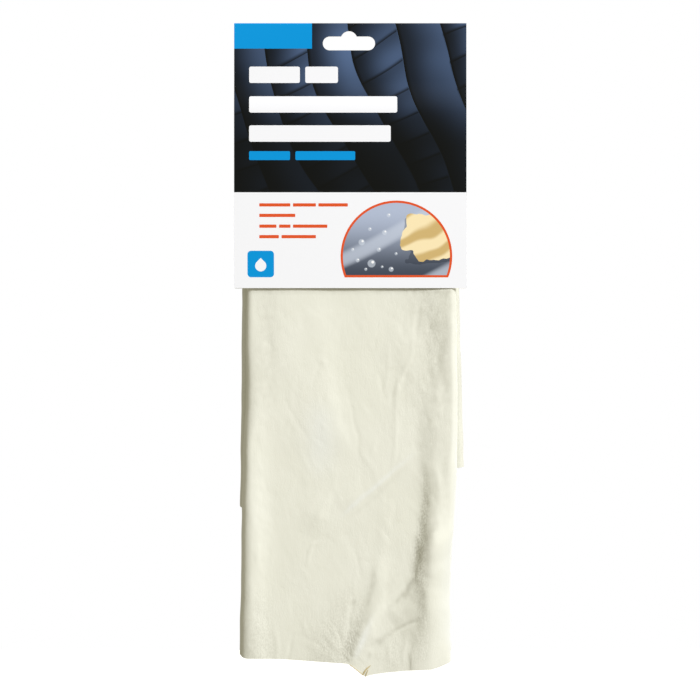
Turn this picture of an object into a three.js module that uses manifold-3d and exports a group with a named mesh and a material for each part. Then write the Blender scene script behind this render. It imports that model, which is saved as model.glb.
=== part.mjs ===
// Folded chamois leather on a printed header card, in millimetres.
// +Z is up, the printed front faces -Y, and the origin is the top of the hang slot.
import * as THREE from "three";
import { mergeVertices } from "three/addons/utils/BufferGeometryUtils.js";
import Module from "manifold-3d";

// Header card: one board creased along its top edge
const card_width = 142;
const card_height = 162;
const board_thickness = 0.5;
const crease_steps = 8;
const neck_length = 34.5;
const spread_length = 20;
const spread_steps = 10;
const front_bulge = 2;
const cut_overrun = 4;

// Hang slot: a bar with round ends and a hump for a single hook
const slot_length = 32;
const slot_height = 8.5;
const slot_offset = 0.8;
const hump_radius = 5.1;
const hump_rise = 3.25;
const hump_from_crease = 4.9;
const slot_arc_steps = 10;

// Adhesive strip that holds the two panels together under the slot
const tape_thickness = 0.5;
const tape_width = 118;
const tape_height = 12;
const tape_below_slot = 4;

// Clearance between pieces that bear on each other or move past each other
const fit_gap = 0.3;

// Least cosine of half a corner when a strip of even thickness follows a line
const corner_share = 0.3;

// Leather: one thin skin rolled flat into layers and hung over in two bundles
const leather_thickness = 0.7;
const layer_gap = 0.35;
const roll_order = [6, 0, 5, 1, 4, 2, 3];
const wrap_share = 0.28;
const bundle_gap = 1.2;
const loop_below_shoulder = 2;
const loop_steps = 10;
const bend_steps_per_level = 1.2;
const bend_steps_least = 3;

// Front bundle: width, length to its left corner, and edges as shares of its width
const front_width = 130;
const front_length = 226;
const front_left_shares = [-0.481, -0.5, -0.514];
const front_right_shares = [0.503, 0.509, 0.484];
const front_rows = 11;

// Rear bundle: wider and shorter, with a hem that slants up to the right
const rear_width = 134;
const rear_length = 134.5;
const rear_slant = 25;
const rear_corner = 1.2;
const rear_left_shares = [-0.489, -0.493, -0.498];
const rear_right_shares = [0.504, 0.515, 0.527];
const rear_rows = 5;
const rear_column_shares = [0.03, 0.3, 0.5, 0.7];

// Front hem: drop below the left corner, as shares of the tip's drop, across the width
const hem_tip_drop = 11.4;
const hem_shares = [
  [0, -0.13], [0.03, 0.03], [0.2, 0.06], [0.37, 0.2], [0.51, 0.31], [0.54, 0.54],
  [0.594, 1], [0.625, 0.9], [0.68, 0.8], [0.79, 0.68], [0.906, 0.62], [0.943, 0.49], [1, 0.22],
];
const inner_lift = 2.4;

// Swells and hollows of the front layer, as shares of width and length:
// start across, start down, end across, end down, half width, height
const fold_height = 3.4;
const fold_below_top = 11;
const crown_share = 0.5;
const fold_top_share = 0.17;
const fold_side_share = 0.07;
const front_fold_shares = [
  [0.45, 0.05, 0.51, 0.5, 0.06, 0.3],
  [0.86, 0.4, 0.53, 0.62, 0.045, 0.3],
  [0.85, 0.86, 0.66, 0.98, 0.04, -0.3],
  [0.77, 0.82, 0.58, 0.99, 0.03, 0.5],
];

// Roll that stands proud down the right side, as shares of width, length and fold height:
// down, place of its left flank, half width of the flank, height
const side_roll_shares = [
  [0, 0.88, 0.08, 0.6], [0.15, 0.92, 0.035, 0.8], [0.3, 0.865, 0.04, 0.6], [0.45, 0.855, 0.035, 0.8],
  [0.57, 0.86, 0.03, 1.3], [0.69, 0.85, 0.035, 2], [0.78, 0.836, 0.033, 2], [0.85, 0.825, 0.05, 1.6],
  [0.93, 0.8, 0.06, 1.4], [1, 0.81, 0.05, 1],
];
const front_column_shares = [
  0.04, 0.16, 0.3, 0.4, 0.45, 0.51, 0.54, 0.594, 0.625, 0.68, 0.76, 0.81, 0.85, 0.89, 0.95,
];

// Wire staples that hold the rear bundle to the back panel
const staple_crown = 12.7;
const wire_thickness = 0.5;
const wire_width = 0.7;
const clinch_length = 4;
const staple_inset = 24.5;
const staple_drop = 26;
const wire_bend_steps = 3;

// Colours and surfaces
const board_colour = 0x23272d;
const leather_colour = 0xe6e4d6;
const steel_colour = 0xb9bcc0;
const tape_colour = 0xe9e6dc;
const board_finish = { roughness: 0.35, metalness: 0 };
const leather_finish = { roughness: 0.95, metalness: 0 };
const steel_finish = { roughness: 0.3, metalness: 1 };
const tape_finish = { roughness: 0.6, metalness: 0 };

// Heights and depths that follow from the sizes
const layer_pitch = leather_thickness + layer_gap;
const top_level = Math.max(...roll_order);
const bundle_depth = top_level * layer_pitch + leather_thickness;
const bundle_inner = bundle_gap / 2;
const neck_inner = tape_thickness / 2;
const front_inner = neck_inner + front_bulge;
const bundle_middle = bundle_inner + bundle_depth + fit_gap - front_inner;
const back_inner = bundle_middle + bundle_inner + bundle_depth + fit_gap;
const crease_top = hump_from_crease;
const card_bottom = crease_top - card_height;
const neck_bottom = crease_top - neck_length;
const shoulder = neck_bottom - spread_length;
const loop_centre = shoulder - loop_below_shoulder;
const hinge_height = card_bottom - fit_gap - bundle_depth / 2;
const slot_bottom = -hump_rise - slot_height;
const tape_top = slot_bottom - tape_below_slot;
const staple_height = loop_centre - staple_drop;
const rear_left = rear_width * rear_left_shares[0];
const rear_right = rear_width * rear_right_shares[0];

const wasm = await Module();
wasm.setup();

// Solid for joining and cutting, from a closed geometry
function toSolid(geometry) {
  const bare = geometry.index ? geometry.toNonIndexed() : geometry.clone();
  bare.deleteAttribute("normal");
  bare.deleteAttribute("uv");
  const merged = mergeVertices(bare);
  return new wasm.Manifold(new wasm.Mesh({
    numProp: 3,
    vertProperties: new Float32Array(merged.attributes.position.array),
    triVerts: new Uint32Array(merged.index.array),
  }));
}

function toGeometry(solid) {
  const mesh = solid.getMesh();
  const geometry = new THREE.BufferGeometry();
  geometry.setAttribute("position", new THREE.BufferAttribute(mesh.vertProperties, 3));
  geometry.setIndex(new THREE.BufferAttribute(mesh.triVerts, 1));
  geometry.computeVertexNormals();
  return geometry;
}

// Points of an arc, from one angle to another in degrees
function arc(centre_a, centre_b, radius, from_degrees, to_degrees, steps) {
  const points = [];
  for (let i = 0; i <= steps; i += 1) {
    const degrees = THREE.MathUtils.lerp(from_degrees, to_degrees, i / steps);
    const angle = THREE.MathUtils.degToRad(degrees);
    const reach = new THREE.Vector2(Math.cos(angle), Math.sin(angle)).multiplyScalar(radius);
    points.push(reach.add(new THREE.Vector2(centre_a, centre_b)));
  }
  return points;
}

// Closed outline of a strip of even thickness along a line of points
function strip(line, thickness) {
  const sides = [[], []];
  line.forEach((point, i) => {
    const before = line[Math.max(i - 1, 0)];
    const after = line[Math.min(i + 1, line.length - 1)];
    const incoming = point.clone().sub(before).normalize();
    const outgoing = after.clone().sub(point).normalize();
    const along = incoming.clone().add(outgoing).normalize();
    const ahead = outgoing.lengthSq() > 0 ? outgoing : incoming;
    const reach = thickness / 2 / Math.max(along.dot(ahead), corner_share);
    const normal = new THREE.Vector2(-along.y, along.x).multiplyScalar(reach);
    sides[0].push(point.clone().add(normal));
    sides[1].push(point.clone().sub(normal));
  });
  return [...sides[0], ...sides[1].reverse()];
}

// Extrusions of a flat outline along X, Y and Z, centred on that axis
function extrude(outline, depth, holes = []) {
  const shape = new THREE.Shape(outline);
  shape.holes = holes.map((hole) => new THREE.Path(hole));
  const geometry = new THREE.ExtrudeGeometry(shape, { depth, bevelEnabled: false, steps: 1 });
  return geometry.translate(0, 0, -depth / 2);
}

function alongX(outline, depth) {
  const toX = new THREE.Matrix4().makeBasis(
    new THREE.Vector3(0, 1, 0), new THREE.Vector3(0, 0, 1), new THREE.Vector3(1, 0, 0));
  return extrude(outline, depth).applyMatrix4(toX);
}

function alongY(outline, depth) {
  return extrude(outline, depth).rotateX(Math.PI / 2);
}

// Header card: front panel, crease and back panel in one profile
function panelLine(side, inner) {
  const neck = neck_inner + board_thickness / 2;
  const panel = inner + board_thickness / 2;
  const points = [];
  for (let i = 0; i <= spread_steps; i += 1) {
    const down = i / spread_steps;
    const out = THREE.MathUtils.lerp(neck, panel, THREE.MathUtils.smoothstep(down, 0, 1));
    points.push(new THREE.Vector2(side * out, neck_bottom - down * spread_length));
  }
  points.push(new THREE.Vector2(side * panel, card_bottom));
  return points;
}

function slotOutline() {
  const end_radius = slot_height / 2;
  const bar_centre = -hump_rise - end_radius;
  const end_x = slot_length / 2 - end_radius;
  const hump_start = THREE.MathUtils.radToDeg(Math.asin((hump_radius - hump_rise) / hump_radius));
  return [
    ...arc(-end_x, bar_centre, end_radius, 270, 90, slot_arc_steps),
    ...arc(0, -hump_radius, hump_radius, 180 - hump_start, hump_start, slot_arc_steps),
    ...arc(end_x, bar_centre, end_radius, 90, -90, slot_arc_steps),
  ];
}

function headerCard(cutters) {
  const crease_radius = neck_inner + board_thickness / 2;
  const crease_centre = crease_top - board_thickness / 2 - crease_radius;
  const line = [
    ...panelLine(-1, front_inner).reverse(),
    ...arc(0, crease_centre, crease_radius, 180, 0, crease_steps),
    ...panelLine(1, back_inner),
  ];
  const board = alongX(strip(line, board_thickness), card_width).translate(slot_offset, 0, 0);
  const slot = alongY(slotOutline(), 2 * (neck_inner + board_thickness + cut_overrun));
  const cuts = [slot, ...cutters].map(toSolid);
  return toGeometry(cuts.reduce((solid, cut) => solid.subtract(cut), toSolid(board)));
}

function closureTape() {
  const tape = new THREE.BoxGeometry(tape_width, tape_thickness, tape_height);
  return tape.translate(slot_offset, 0, tape_top - tape_height / 2);
}

// Smooth value through three shares: at the top, half way down and at the foot
function threePoint(shares, down) {
  const [top, middle, foot] = shares;
  const early = (1 - down) * (1 - 2 * down);
  const mid = 4 * down * (1 - down);
  const late = down * (2 * down - 1);
  return top * early + middle * mid + foot * late;
}

// Line that the skin follows across one bundle: x across, depth in from the outer face
function rollLine(left, right, column_shares) {
  const points = [];
  const depthOf = (level) => leather_thickness / 2 + level * layer_pitch;
  const left_level = (roll_order[0] + roll_order[1]) / 2;
  const right_level = (roll_order[1] + roll_order[2]) / 2;
  const left_centre = left + leather_thickness / 2 + left_level * layer_pitch;
  const right_centre = right - leather_thickness / 2 - right_level * layer_pitch;
  const across = (share) => THREE.MathUtils.lerp(left, right, share);
  const inner_edge = THREE.MathUtils.lerp(left_centre, right_centre, wrap_share);
  points.push({ x: inner_edge, n: depthOf(top_level), outer: false });
  for (let i = 0; i + 1 < roll_order.length; i += 1) {
    const from = roll_order[i];
    const to = roll_order[i + 1];
    const at_left = i % 2 === 0;
    const radius = (Math.abs(to - from) / 2) * layer_pitch;
    const middle = depthOf((from + to) / 2);
    const steps = Math.max(bend_steps_least, Math.round(Math.abs(to - from) * bend_steps_per_level));
    const start = from > to ? 90 : -90;
    const finish = start + Math.sign(from - to) * (at_left ? 180 : -180);
    const centre = at_left ? left_centre : right_centre;
    arc(centre, middle, radius, start, finish, steps).forEach((point) => {
      points.push({ x: point.x, n: point.y, outer: false });
    });
    if (i === 0) {
      column_shares.forEach((share) => points.push({ x: across(share), n: depthOf(0), outer: true }));
    }
  }
  points.push({ x: left_centre, n: depthOf(roll_order.at(-1)), outer: false });
  return points;
}

// Closed section of the rolled skin, each point with its place across and its depth
function rollSection(left, right, column_shares) {
  const line = rollLine(left, right, column_shares);
  const outline = strip(line.map((point) => new THREE.Vector2(point.x, point.n)), leather_thickness);
  return outline.map((point, i) => {
    const source = line[i < line.length ? i : 2 * line.length - 1 - i];
    const share = THREE.MathUtils.clamp((source.x - left) / (right - left), 0, 1);
    return { x: point.x, n: point.y, share, outer: source.outer };
  });
}

// Closed body through rings of points that run round a strip's section.
// Each end is filled by a ladder of faces between the two sides of the strip.
function loft(rings, outward) {
  const count = rings[0].length;
  const faces = [];
  const last = (rings.length - 1) * count;
  for (let i = 0; i + 1 < count / 2; i += 1) {
    const across = count - 1 - i;
    const end = last + across;
    faces.push([i, across, i + 1], [i + 1, across, across - 1]);
    faces.push([last + i, last + i + 1, end], [last + i + 1, end - 1, end]);
  }
  for (let row = 0; row + 1 < rings.length; row += 1) {
    for (let i = 0; i < count; i += 1) {
      const a = row * count + i;
      const b = row * count + ((i + 1) % count);
      faces.push([a, b, a + count], [b, b + count, a + count]);
    }
  }
  const index = faces.flatMap(([a, b, c]) => (outward ? [a, b, c] : [a, c, b]));
  const geometry = new THREE.BufferGeometry();
  const places = rings.flat().flatMap((point) => [point.x, point.y, point.z]);
  geometry.setAttribute("position", new THREE.Float32BufferAttribute(places, 3));
  geometry.setIndex(index);
  return toSolid(geometry);
}

// Height of the roll down the right side
function sideRoll(share, down) {
  const after = Math.max(side_roll_shares.findIndex(([row]) => row >= down), 1);
  const upper = side_roll_shares[after - 1];
  const lower = side_roll_shares[after];
  const [flank, half_width, lift] = [1, 2, 3].map((item) => (
    THREE.MathUtils.mapLinear(down, upper[0], lower[0], upper[item], lower[item])));
  return (lift / 2) * (1 + Math.tanh((share - flank) / half_width));
}

// Height of the front layer off its flat level, which stays flat where it swings past the card
function foldHeight(share, down) {
  const from_side = Math.min(share, 1 - share);
  const side = THREE.MathUtils.smoothstep(from_side, 0, fold_side_share);
  const top = THREE.MathUtils.smoothstep(down, fold_below_top / front_length, fold_top_share);
  let height = crown_share + sideRoll(share, down);
  front_fold_shares.forEach(([u0, v0, u1, v1, half_width, lift]) => {
    const start = new THREE.Vector2(u0 * front_width, v0 * front_length);
    const end = new THREE.Vector2(u1 * front_width, v1 * front_length);
    const here = new THREE.Vector2(share * front_width, down * front_length);
    const run = end.clone().sub(start);
    const t = THREE.MathUtils.clamp(here.clone().sub(start).dot(run) / run.lengthSq(), 0, 1);
    const away = here.distanceTo(start.addScaledVector(run, t)) / (half_width * front_width);
    height += lift * Math.exp(-away * away);
  });
  return Math.max(height, 0) * fold_height * side * top;
}

// Drop of the front layer's hem below the left corner
function hemDrop(share) {
  const after = hem_shares.findIndex(([across]) => across >= share);
  const [u1, drop1] = hem_shares[Math.max(after, 1)];
  const [u0, drop0] = hem_shares[Math.max(after, 1) - 1];
  return hem_tip_drop * THREE.MathUtils.mapLinear(share, u0, u1, drop0, drop1);
}

// Hanging bundle below the card, its top rounded about its own hinge line
function tail({ width, length, left_shares, right_shares, rows, columns, side, foot, relief }) {
  const rings = [];
  for (let row = 0; row <= rows; row += 1) {
    const down = row === 0 ? 0 : THREE.MathUtils.mapLinear(row, 1, rows, fold_below_top / length, 1);
    const left = width * threePoint(left_shares, down);
    const right = width * threePoint(right_shares, down);
    rings.push(rollSection(left, right, columns).map(({ x, n, share, outer }) => {
      const from_middle = n - bundle_depth / 2;
      const top = hinge_height + Math.sqrt(Math.max((bundle_depth / 2) ** 2 - from_middle ** 2, 0));
      const bottom = card_bottom - length - foot(share, n, outer);
      const lift = outer ? relief(share, down) : 0;
      const depth = bundle_inner + bundle_depth - n + lift;
      const height = THREE.MathUtils.lerp(top, bottom, down);
      return new THREE.Vector3(x, bundle_middle + side * depth, height);
    }));
  }
  return toGeometry(loft(rings, side < 0));
}

function frontTail() {
  return tail({
    width: front_width,
    length: front_length,
    left_shares: front_left_shares,
    right_shares: front_right_shares,
    rows: front_rows,
    columns: front_column_shares,
    side: -1,
    relief: foldHeight,
    foot: (share, n, outer) => {
      const straight = THREE.MathUtils.lerp(hemDrop(0), hemDrop(1), share);
      const inner = straight - inner_lift * THREE.MathUtils.smoothstep(n, 0, bundle_depth);
      return outer ? hemDrop(share) : inner;
    },
  });
}

function rearTail() {
  return tail({
    width: rear_width,
    length: rear_length,
    left_shares: rear_left_shares,
    right_shares: rear_right_shares,
    rows: rear_rows,
    columns: rear_column_shares,
    side: 1,
    relief: () => 0,
    foot: (share, n) => {
      const corner = rear_corner * (1 - THREE.MathUtils.smoothstep(share, 0, rear_corner / rear_width));
      const lifted = inner_lift * THREE.MathUtils.smoothstep(n, 0, bundle_depth);
      return -rear_slant * share - corner - lifted;
    },
  });
}

// Leather inside the card: up from the rear bundle, over the loop and down to the front one
function leatherFold(cutters) {
  const stations = [{ turn: 0, height: card_bottom }];
  for (let i = 0; i <= loop_steps; i += 1) {
    stations.push({ turn: i / loop_steps, height: loop_centre });
  }
  stations.push({ turn: 1, height: card_bottom });
  const rings = stations.map(({ turn, height }) => {
    const left = THREE.MathUtils.lerp(rear_left, front_width * front_left_shares[0], turn);
    const right = THREE.MathUtils.lerp(rear_right, front_width * front_right_shares[0], turn);
    const angle = Math.PI * turn;
    return rollSection(left, right, []).map(({ x, n }) => {
      const radius = bundle_inner + bundle_depth - n;
      const depth = bundle_middle + radius * Math.cos(angle);
      return new THREE.Vector3(x, depth, height + radius * Math.sin(angle));
    });
  });
  const cuts = cutters.map(toSolid);
  return toGeometry(cuts.reduce((solid, cut) => solid.subtract(cut), loft(rings, true)));
}

// Staple: crown on the back panel, legs through board and leather, ends clinched inwards
function staple(centre_x) {
  const leg = staple_crown / 2 - wire_thickness / 2;
  const crown_y = back_inner + board_thickness + wire_thickness / 2;
  const clinch_y = bundle_middle + bundle_inner - fit_gap - wire_thickness / 2;
  const bend = wire_thickness;
  const half = [
    new THREE.Vector2(0, crown_y),
    ...arc(leg - bend, crown_y - bend, bend, 90, 0, wire_bend_steps),
    ...arc(leg - bend, clinch_y + bend, bend, 0, -90, wire_bend_steps),
    new THREE.Vector2(leg - clinch_length, clinch_y),
  ];
  const mirrored = half.slice(1).map((point) => new THREE.Vector2(-point.x, point.y)).reverse();
  return extrude(strip([...mirrored, ...half], wire_thickness), wire_width)
    .translate(centre_x, 0, staple_height);
}

// Holes that the staple legs pass through, with clearance round the wire
function legHoles(centre_x) {
  const leg = staple_crown / 2 - wire_thickness / 2;
  const reach = back_inner + board_thickness + cut_overrun - bundle_middle;
  return [-1, 1].map((hand) => {
    const hole = new THREE.BoxGeometry(wire_thickness + 2 * fit_gap, reach, wire_width + 2 * fit_gap);
    return hole.translate(centre_x + hand * leg, bundle_middle + reach / 2, staple_height);
  });
}

const staple_left_x = rear_left + staple_inset;
const staple_right_x = rear_right - staple_inset;
const leg_holes = [...legHoles(staple_left_x), ...legHoles(staple_right_x)];

// Named meshes
function piece(name, geometry, colour, finish) {
  const mesh = new THREE.Mesh(geometry, new THREE.MeshStandardMaterial({ color: colour, ...finish }));
  mesh.name = name;
  return mesh;
}

const pack = new THREE.Group();
pack.name = "chamois_pack";

const card_group = new THREE.Group();
card_group.add(piece("header_card", headerCard(leg_holes), board_colour, board_finish));
card_group.add(piece("closure_tape", closureTape(), tape_colour, tape_finish));
card_group.add(piece("staple_left", staple(staple_left_x), steel_colour, steel_finish));
card_group.add(piece("staple_right", staple(staple_right_x), steel_colour, steel_finish));
pack.add(card_group);

const leather_group = new THREE.Group();
leather_group.add(piece("leather_fold", leatherFold(leg_holes), leather_colour, leather_finish));
leather_group.add(piece("front_tail", frontTail(), leather_colour, leather_finish));
leather_group.add(piece("rear_tail", rearTail(), leather_colour, leather_finish));
pack.add(leather_group);

export default pack;
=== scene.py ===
"""A rolled chamois leather on its printed header card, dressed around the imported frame."""

import math
from collections import namedtuple

import bpy
import numpy as np
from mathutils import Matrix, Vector


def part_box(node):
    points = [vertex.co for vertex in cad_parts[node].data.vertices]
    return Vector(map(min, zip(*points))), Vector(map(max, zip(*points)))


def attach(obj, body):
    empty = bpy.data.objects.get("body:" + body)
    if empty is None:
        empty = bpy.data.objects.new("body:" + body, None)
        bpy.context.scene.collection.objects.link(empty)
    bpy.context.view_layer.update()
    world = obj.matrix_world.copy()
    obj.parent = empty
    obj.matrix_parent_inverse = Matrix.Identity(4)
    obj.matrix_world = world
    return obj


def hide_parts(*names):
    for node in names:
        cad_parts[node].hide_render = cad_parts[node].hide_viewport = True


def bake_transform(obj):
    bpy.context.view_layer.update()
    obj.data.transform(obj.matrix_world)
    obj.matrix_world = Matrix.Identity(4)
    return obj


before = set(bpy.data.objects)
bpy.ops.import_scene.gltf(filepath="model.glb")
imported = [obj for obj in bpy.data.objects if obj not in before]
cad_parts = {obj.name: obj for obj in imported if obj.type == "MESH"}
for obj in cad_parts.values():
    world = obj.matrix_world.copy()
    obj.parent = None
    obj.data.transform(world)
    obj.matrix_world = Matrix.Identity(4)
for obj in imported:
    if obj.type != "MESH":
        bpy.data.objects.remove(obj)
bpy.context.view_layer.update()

bl_info = {
    "name": "Chamois Hang Pack",
    "version": (1, 0, 0),
    "blender": (4, 5, 0),
    "location": "3D View > Sidebar > Chamois",
    "description": "Builds a rolled chamois leather hanging from a printed header card",
    "category": "Object",
}

MM = 0.001

# Metres that put a point out of reach
FAR = 9

# The photograph's frame: pixels a side, metres a pixel, and the pixel of the frame's origin
PHOTO_SIDE = 700
PIXEL = 0.61088 * MM
ORIGIN_PX = (348.95, 30.9)

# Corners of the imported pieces' boxes
CARD_LOW, CARD_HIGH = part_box("header_card")
FOLD_LOW, FOLD_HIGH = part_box("leather_fold")
TAPE_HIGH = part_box("closure_tape")[1]


def from_pixel(across, down):
    """Place in the row frame, across and up, of a pixel of the photograph."""
    return (across - ORIGIN_PX[0]) * PIXEL, (ORIGIN_PX[1] - down) * PIXEL


def linear(red, green, blue):
    """Scene-linear colour of an 8-bit screen colour."""
    def one(value):
        share = value / 255
        return share / 12.92 if share <= 0.04045 else ((share + 0.055) / 1.055) ** 2.4
    return one(red), one(green), one(blue), 1.0


# Selection and modelling helpers


def deselect_all():
    """Leaves edit mode and clears the selection."""
    if bpy.context.object and bpy.context.object.mode != "OBJECT":
        bpy.ops.object.mode_set(mode="OBJECT")
    bpy.ops.object.select_all(action="DESELECT")


def make_active(piece):
    """Selects one object alone and makes it active."""
    deselect_all()
    piece.select_set(True)
    bpy.context.view_layer.objects.active = piece


def named(name):
    """Names the object that was just added, and its mesh."""
    piece = bpy.context.object
    piece.name = name
    piece.data.name = name
    return piece


def settle(piece):
    """Bakes an object's place, turn and scale into its mesh."""
    make_active(piece)
    bpy.ops.object.transform_apply(location=True, rotation=True, scale=True)


def apply_modifier(piece, kind, **values):
    """Adds a modifier, sets its values and applies it."""
    make_active(piece)
    modifier = piece.modifiers.new(kind.title(), kind)
    for key, value in values.items():
        setattr(modifier, key, value)
    bpy.ops.object.modifier_apply(modifier=modifier.name)


def select_vertices(piece, chosen):
    """Selects the vertices of a mesh in edit mode that a test picks."""
    bpy.ops.object.mode_set(mode="EDIT")
    bpy.ops.mesh.select_mode(type="VERT")
    bpy.ops.mesh.select_all(action="DESELECT")
    bpy.ops.object.mode_set(mode="OBJECT")
    for vertex in piece.data.vertices:
        vertex.select = chosen(vertex.co)
    bpy.ops.object.mode_set(mode="EDIT")


def face_outwards():
    """Turns all faces of the active object outwards."""
    bpy.ops.object.mode_set(mode="EDIT")
    bpy.ops.mesh.select_all(action="SELECT")
    bpy.ops.mesh.normals_make_consistent(inside=False)
    bpy.ops.object.mode_set(mode="OBJECT")


def coordinates(piece):
    """Every vertex of a mesh as rows of numbers."""
    flat = np.empty(len(piece.data.vertices) * 3)
    piece.data.vertices.foreach_get("co", flat)
    return flat.reshape(-1, 3)


def place_vertices(piece, places):
    """Moves every vertex of a mesh."""
    piece.data.vertices.foreach_set("co", places.astype(np.float32).ravel())
    piece.data.update()


# Shader wiring


class Shader:
    """Wires the nodes of one material."""

    def __init__(self, name):
        self.material = bpy.data.materials.new(name)
        self.material.use_nodes = True
        self.tree = self.material.node_tree
        self.surface = self.tree.nodes["Principled BSDF"]

    def feed(self, socket, value):
        """Links an input to a socket, or sets it to a fixed value."""
        if isinstance(value, bpy.types.NodeSocket):
            self.tree.links.new(value, socket)
        elif value is not None:
            socket.default_value = value

    def node(self, kind, inputs=(), **settings):
        """Adds a node, with its settings and its inputs, each a fixed value or a socket."""
        made = self.tree.nodes.new(kind)
        for key, value in settings.items():
            setattr(made, key, value)
        for key, value in dict(inputs).items():
            self.feed(made.inputs[key], value)
        return made

    def place(self):
        """Object coordinates."""
        return self.node("ShaderNodeTexCoord").outputs["Object"]

    def mapped(self, vector, **inputs):
        """Moves, turns or scales coordinates, with inputs named as on the Mapping node."""
        return self.node("ShaderNodeMapping", {"Vector": vector, **inputs}).outputs[0]

    def math(self, operation, first, second=None, clamp=False):
        """Adds a math node. Each input is a number or a socket."""
        return self.node(
            "ShaderNodeMath", {0: first, 1: second}, operation=operation, use_clamp=clamp).outputs[0]

    def product(self, first, *others):
        """Multiplies sockets and numbers in turn."""
        for other in others:
            first = self.math("MULTIPLY", first, other)
        return first

    def vector(self, operation, first, second=None):
        """Adds a vector math node. Each input is a vector or a socket."""
        made = self.node("ShaderNodeVectorMath", {0: first, 1: second}, operation=operation)
        return made.outputs["Value" if operation == "LENGTH" else "Vector"]

    def ramp(self, value, low, high, low_out=0.0, high_out=1.0):
        """Maps a value smoothly from one range to another."""
        inputs = {"Value": value, "From Min": low, "From Max": high, "To Min": low_out, "To Max": high_out}
        return self.node("ShaderNodeMapRange", inputs, interpolation_type="SMOOTHSTEP").outputs["Result"]

    def mix(self, factor, first, second):
        """Mixes two colours, each a colour or a socket."""
        return self.node("ShaderNodeMix", {0: factor, 6: first, 7: second}, data_type="RGBA").outputs[2]

    def noise(self, vector, scale, detail=2.0, roughness=0.5, distortion=0.0):
        """Adds a noise texture and returns its value."""
        inputs = {"Scale": scale, "Detail": detail, "Roughness": roughness, "Distortion": distortion}
        return self.node("ShaderNodeTexNoise", {"Vector": vector, **inputs}).outputs["Fac"]

    def waves(self, vector, direction, scale, distortion, detail=0.0, detail_scale=1.0, profile="SIN"):
        """Adds a texture of bands across a direction and returns its value."""
        inputs = {"Scale": scale, "Distortion": distortion, "Detail": detail, "Detail Scale": detail_scale}
        settings = {"bands_direction": direction, "wave_profile": profile}
        return self.node("ShaderNodeTexWave", {"Vector": vector, **inputs}, **settings).outputs["Fac"]

    def bump(self, height, strength, distance, normal=None):
        """Adds a bump node and returns its normal."""
        inputs = {"Height": height, "Strength": strength, "Distance": distance}
        if normal is not None:
            inputs["Normal"] = normal
        return self.node("ShaderNodeBump", inputs).outputs["Normal"]

    def set(self, **values):
        """Sets or links inputs of the surface shader, with spaces written as underscores."""
        for key, value in values.items():
            self.feed(self.surface.inputs[key.replace("_", " ")], value)
        return self.material


# Settings


def length_setting(name, description, default):
    """Property for a size in metres."""
    return bpy.props.FloatProperty(
        name=name, description=description, default=default, unit="LENGTH", precision=5)


def colour_setting(name, description, default):
    """Property for a colour with its alpha."""
    return bpy.props.FloatVectorProperty(
        name=name, description=description, default=default, subtype="COLOR", size=4, min=0, max=1)


class CardSettings(bpy.types.PropertyGroup):
    """Sizes and inks of the header card."""

    board: length_setting("Board", "Thickness of the board", 0.5 * MM)
    neck: length_setting("Neck", "Height from the crease to where the panels spread", 34.5 * MM)
    spread: length_setting("Spread", "Height over which the panels spread round the leather", 20 * MM)
    slot_length: length_setting("Slot Length", "Length of the hang slot", 32 * MM)
    slot_height: length_setting("Slot Height", "Height of the slot's bar", 8.5 * MM)
    hump_radius: length_setting("Hump Radius", "Radius of the slot's hump", 5.1 * MM)
    hump_rise: length_setting("Hump Rise", "Height of the hump over the bar", 3.25 * MM)
    field_height: length_setting("Dark Field", "Height of the dark upper field", 103.5 * MM)
    night: colour_setting("Night Ink", "Deepest ink of the upper field", linear(8, 10, 8))
    steel_blue: colour_setting("Steel Blue Ink", "Sheen on the ribs of the upper field", linear(88, 112, 152))
    sky_blue: colour_setting("Sky Blue Ink", "Ink of the corner, the badge and two bars", linear(0, 147, 219))
    orange: colour_setting("Orange Ink", "Ink of the ring and the small bars", linear(222, 86, 40))
    paper: colour_setting("Paper White", "Coated white of the board", (0.885, 0.905, 0.96, 1))


class LeatherSettings(bpy.types.PropertyGroup):
    """Sizes and colours of the chamois skin."""

    thickness: length_setting("Skin", "Thickness of the skin", 0.7 * MM)
    layer_gap: length_setting("Layer Gap", "Air between two layers of the roll", 0.35 * MM)
    fine_step: length_setting("Fine Step", "Grid step where the skin shows", 1.05 * MM)
    coarse_step: length_setting("Coarse Step", "Grid step inside the roll", 40 * MM)
    behind_step: length_setting("Behind Step", "Grid step on the front bundle's inner side", 5 * MM)
    cream: colour_setting("Cream", "Colour of the nap", (0.772, 0.78, 0.69, 1))
    tan: colour_setting("Tan", "Colour of the cut edge", linear(190, 170, 120))


class StageSettings(bpy.types.PropertyGroup):
    """Camera, lights and floor."""

    distance: length_setting("Camera Distance", "From the lens to the card's front", 3.0)
    floor_drop: length_setting("Floor Drop", "From the hook to the floor", 1.6)
    key_power: bpy.props.FloatProperty(
        name="Key Power", description="Power of the key light in watts", default=398.0)
    back_power: bpy.props.FloatProperty(
        name="Back Power", description="Power of the light behind the pack in watts", default=265.0)
    fill: bpy.props.FloatVectorProperty(
        name="Fill", description="Light of the room all round", subtype="COLOR", size=3, min=0, max=2,
        default=(0.4, 0.375, 0.3))


# Header card


# Steps along the spread of a panel, over the crease and round each arc of the slot, and the angle in degrees
# under which the board's faces shade smoothly
SPREAD_STEPS, CREASE_STEPS, ARC_STEPS = 24, 12, 16
BOARD_SMOOTH_ANGLE = 35


def panel_profile(card, side, neck, panel):
    """Points down one panel: along the neck, out over the leather, and to the lower edge."""
    neck_bottom = CARD_HIGH.z - card.neck
    points = []
    for i in range(SPREAD_STEPS + 1):
        down = i / SPREAD_STEPS
        ease = down * down * (3 - 2 * down)
        points.append((side * (neck + (panel - neck) * ease), neck_bottom - down * card.spread))
    points.append((side * panel, CARD_LOW.z))
    return points


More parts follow.
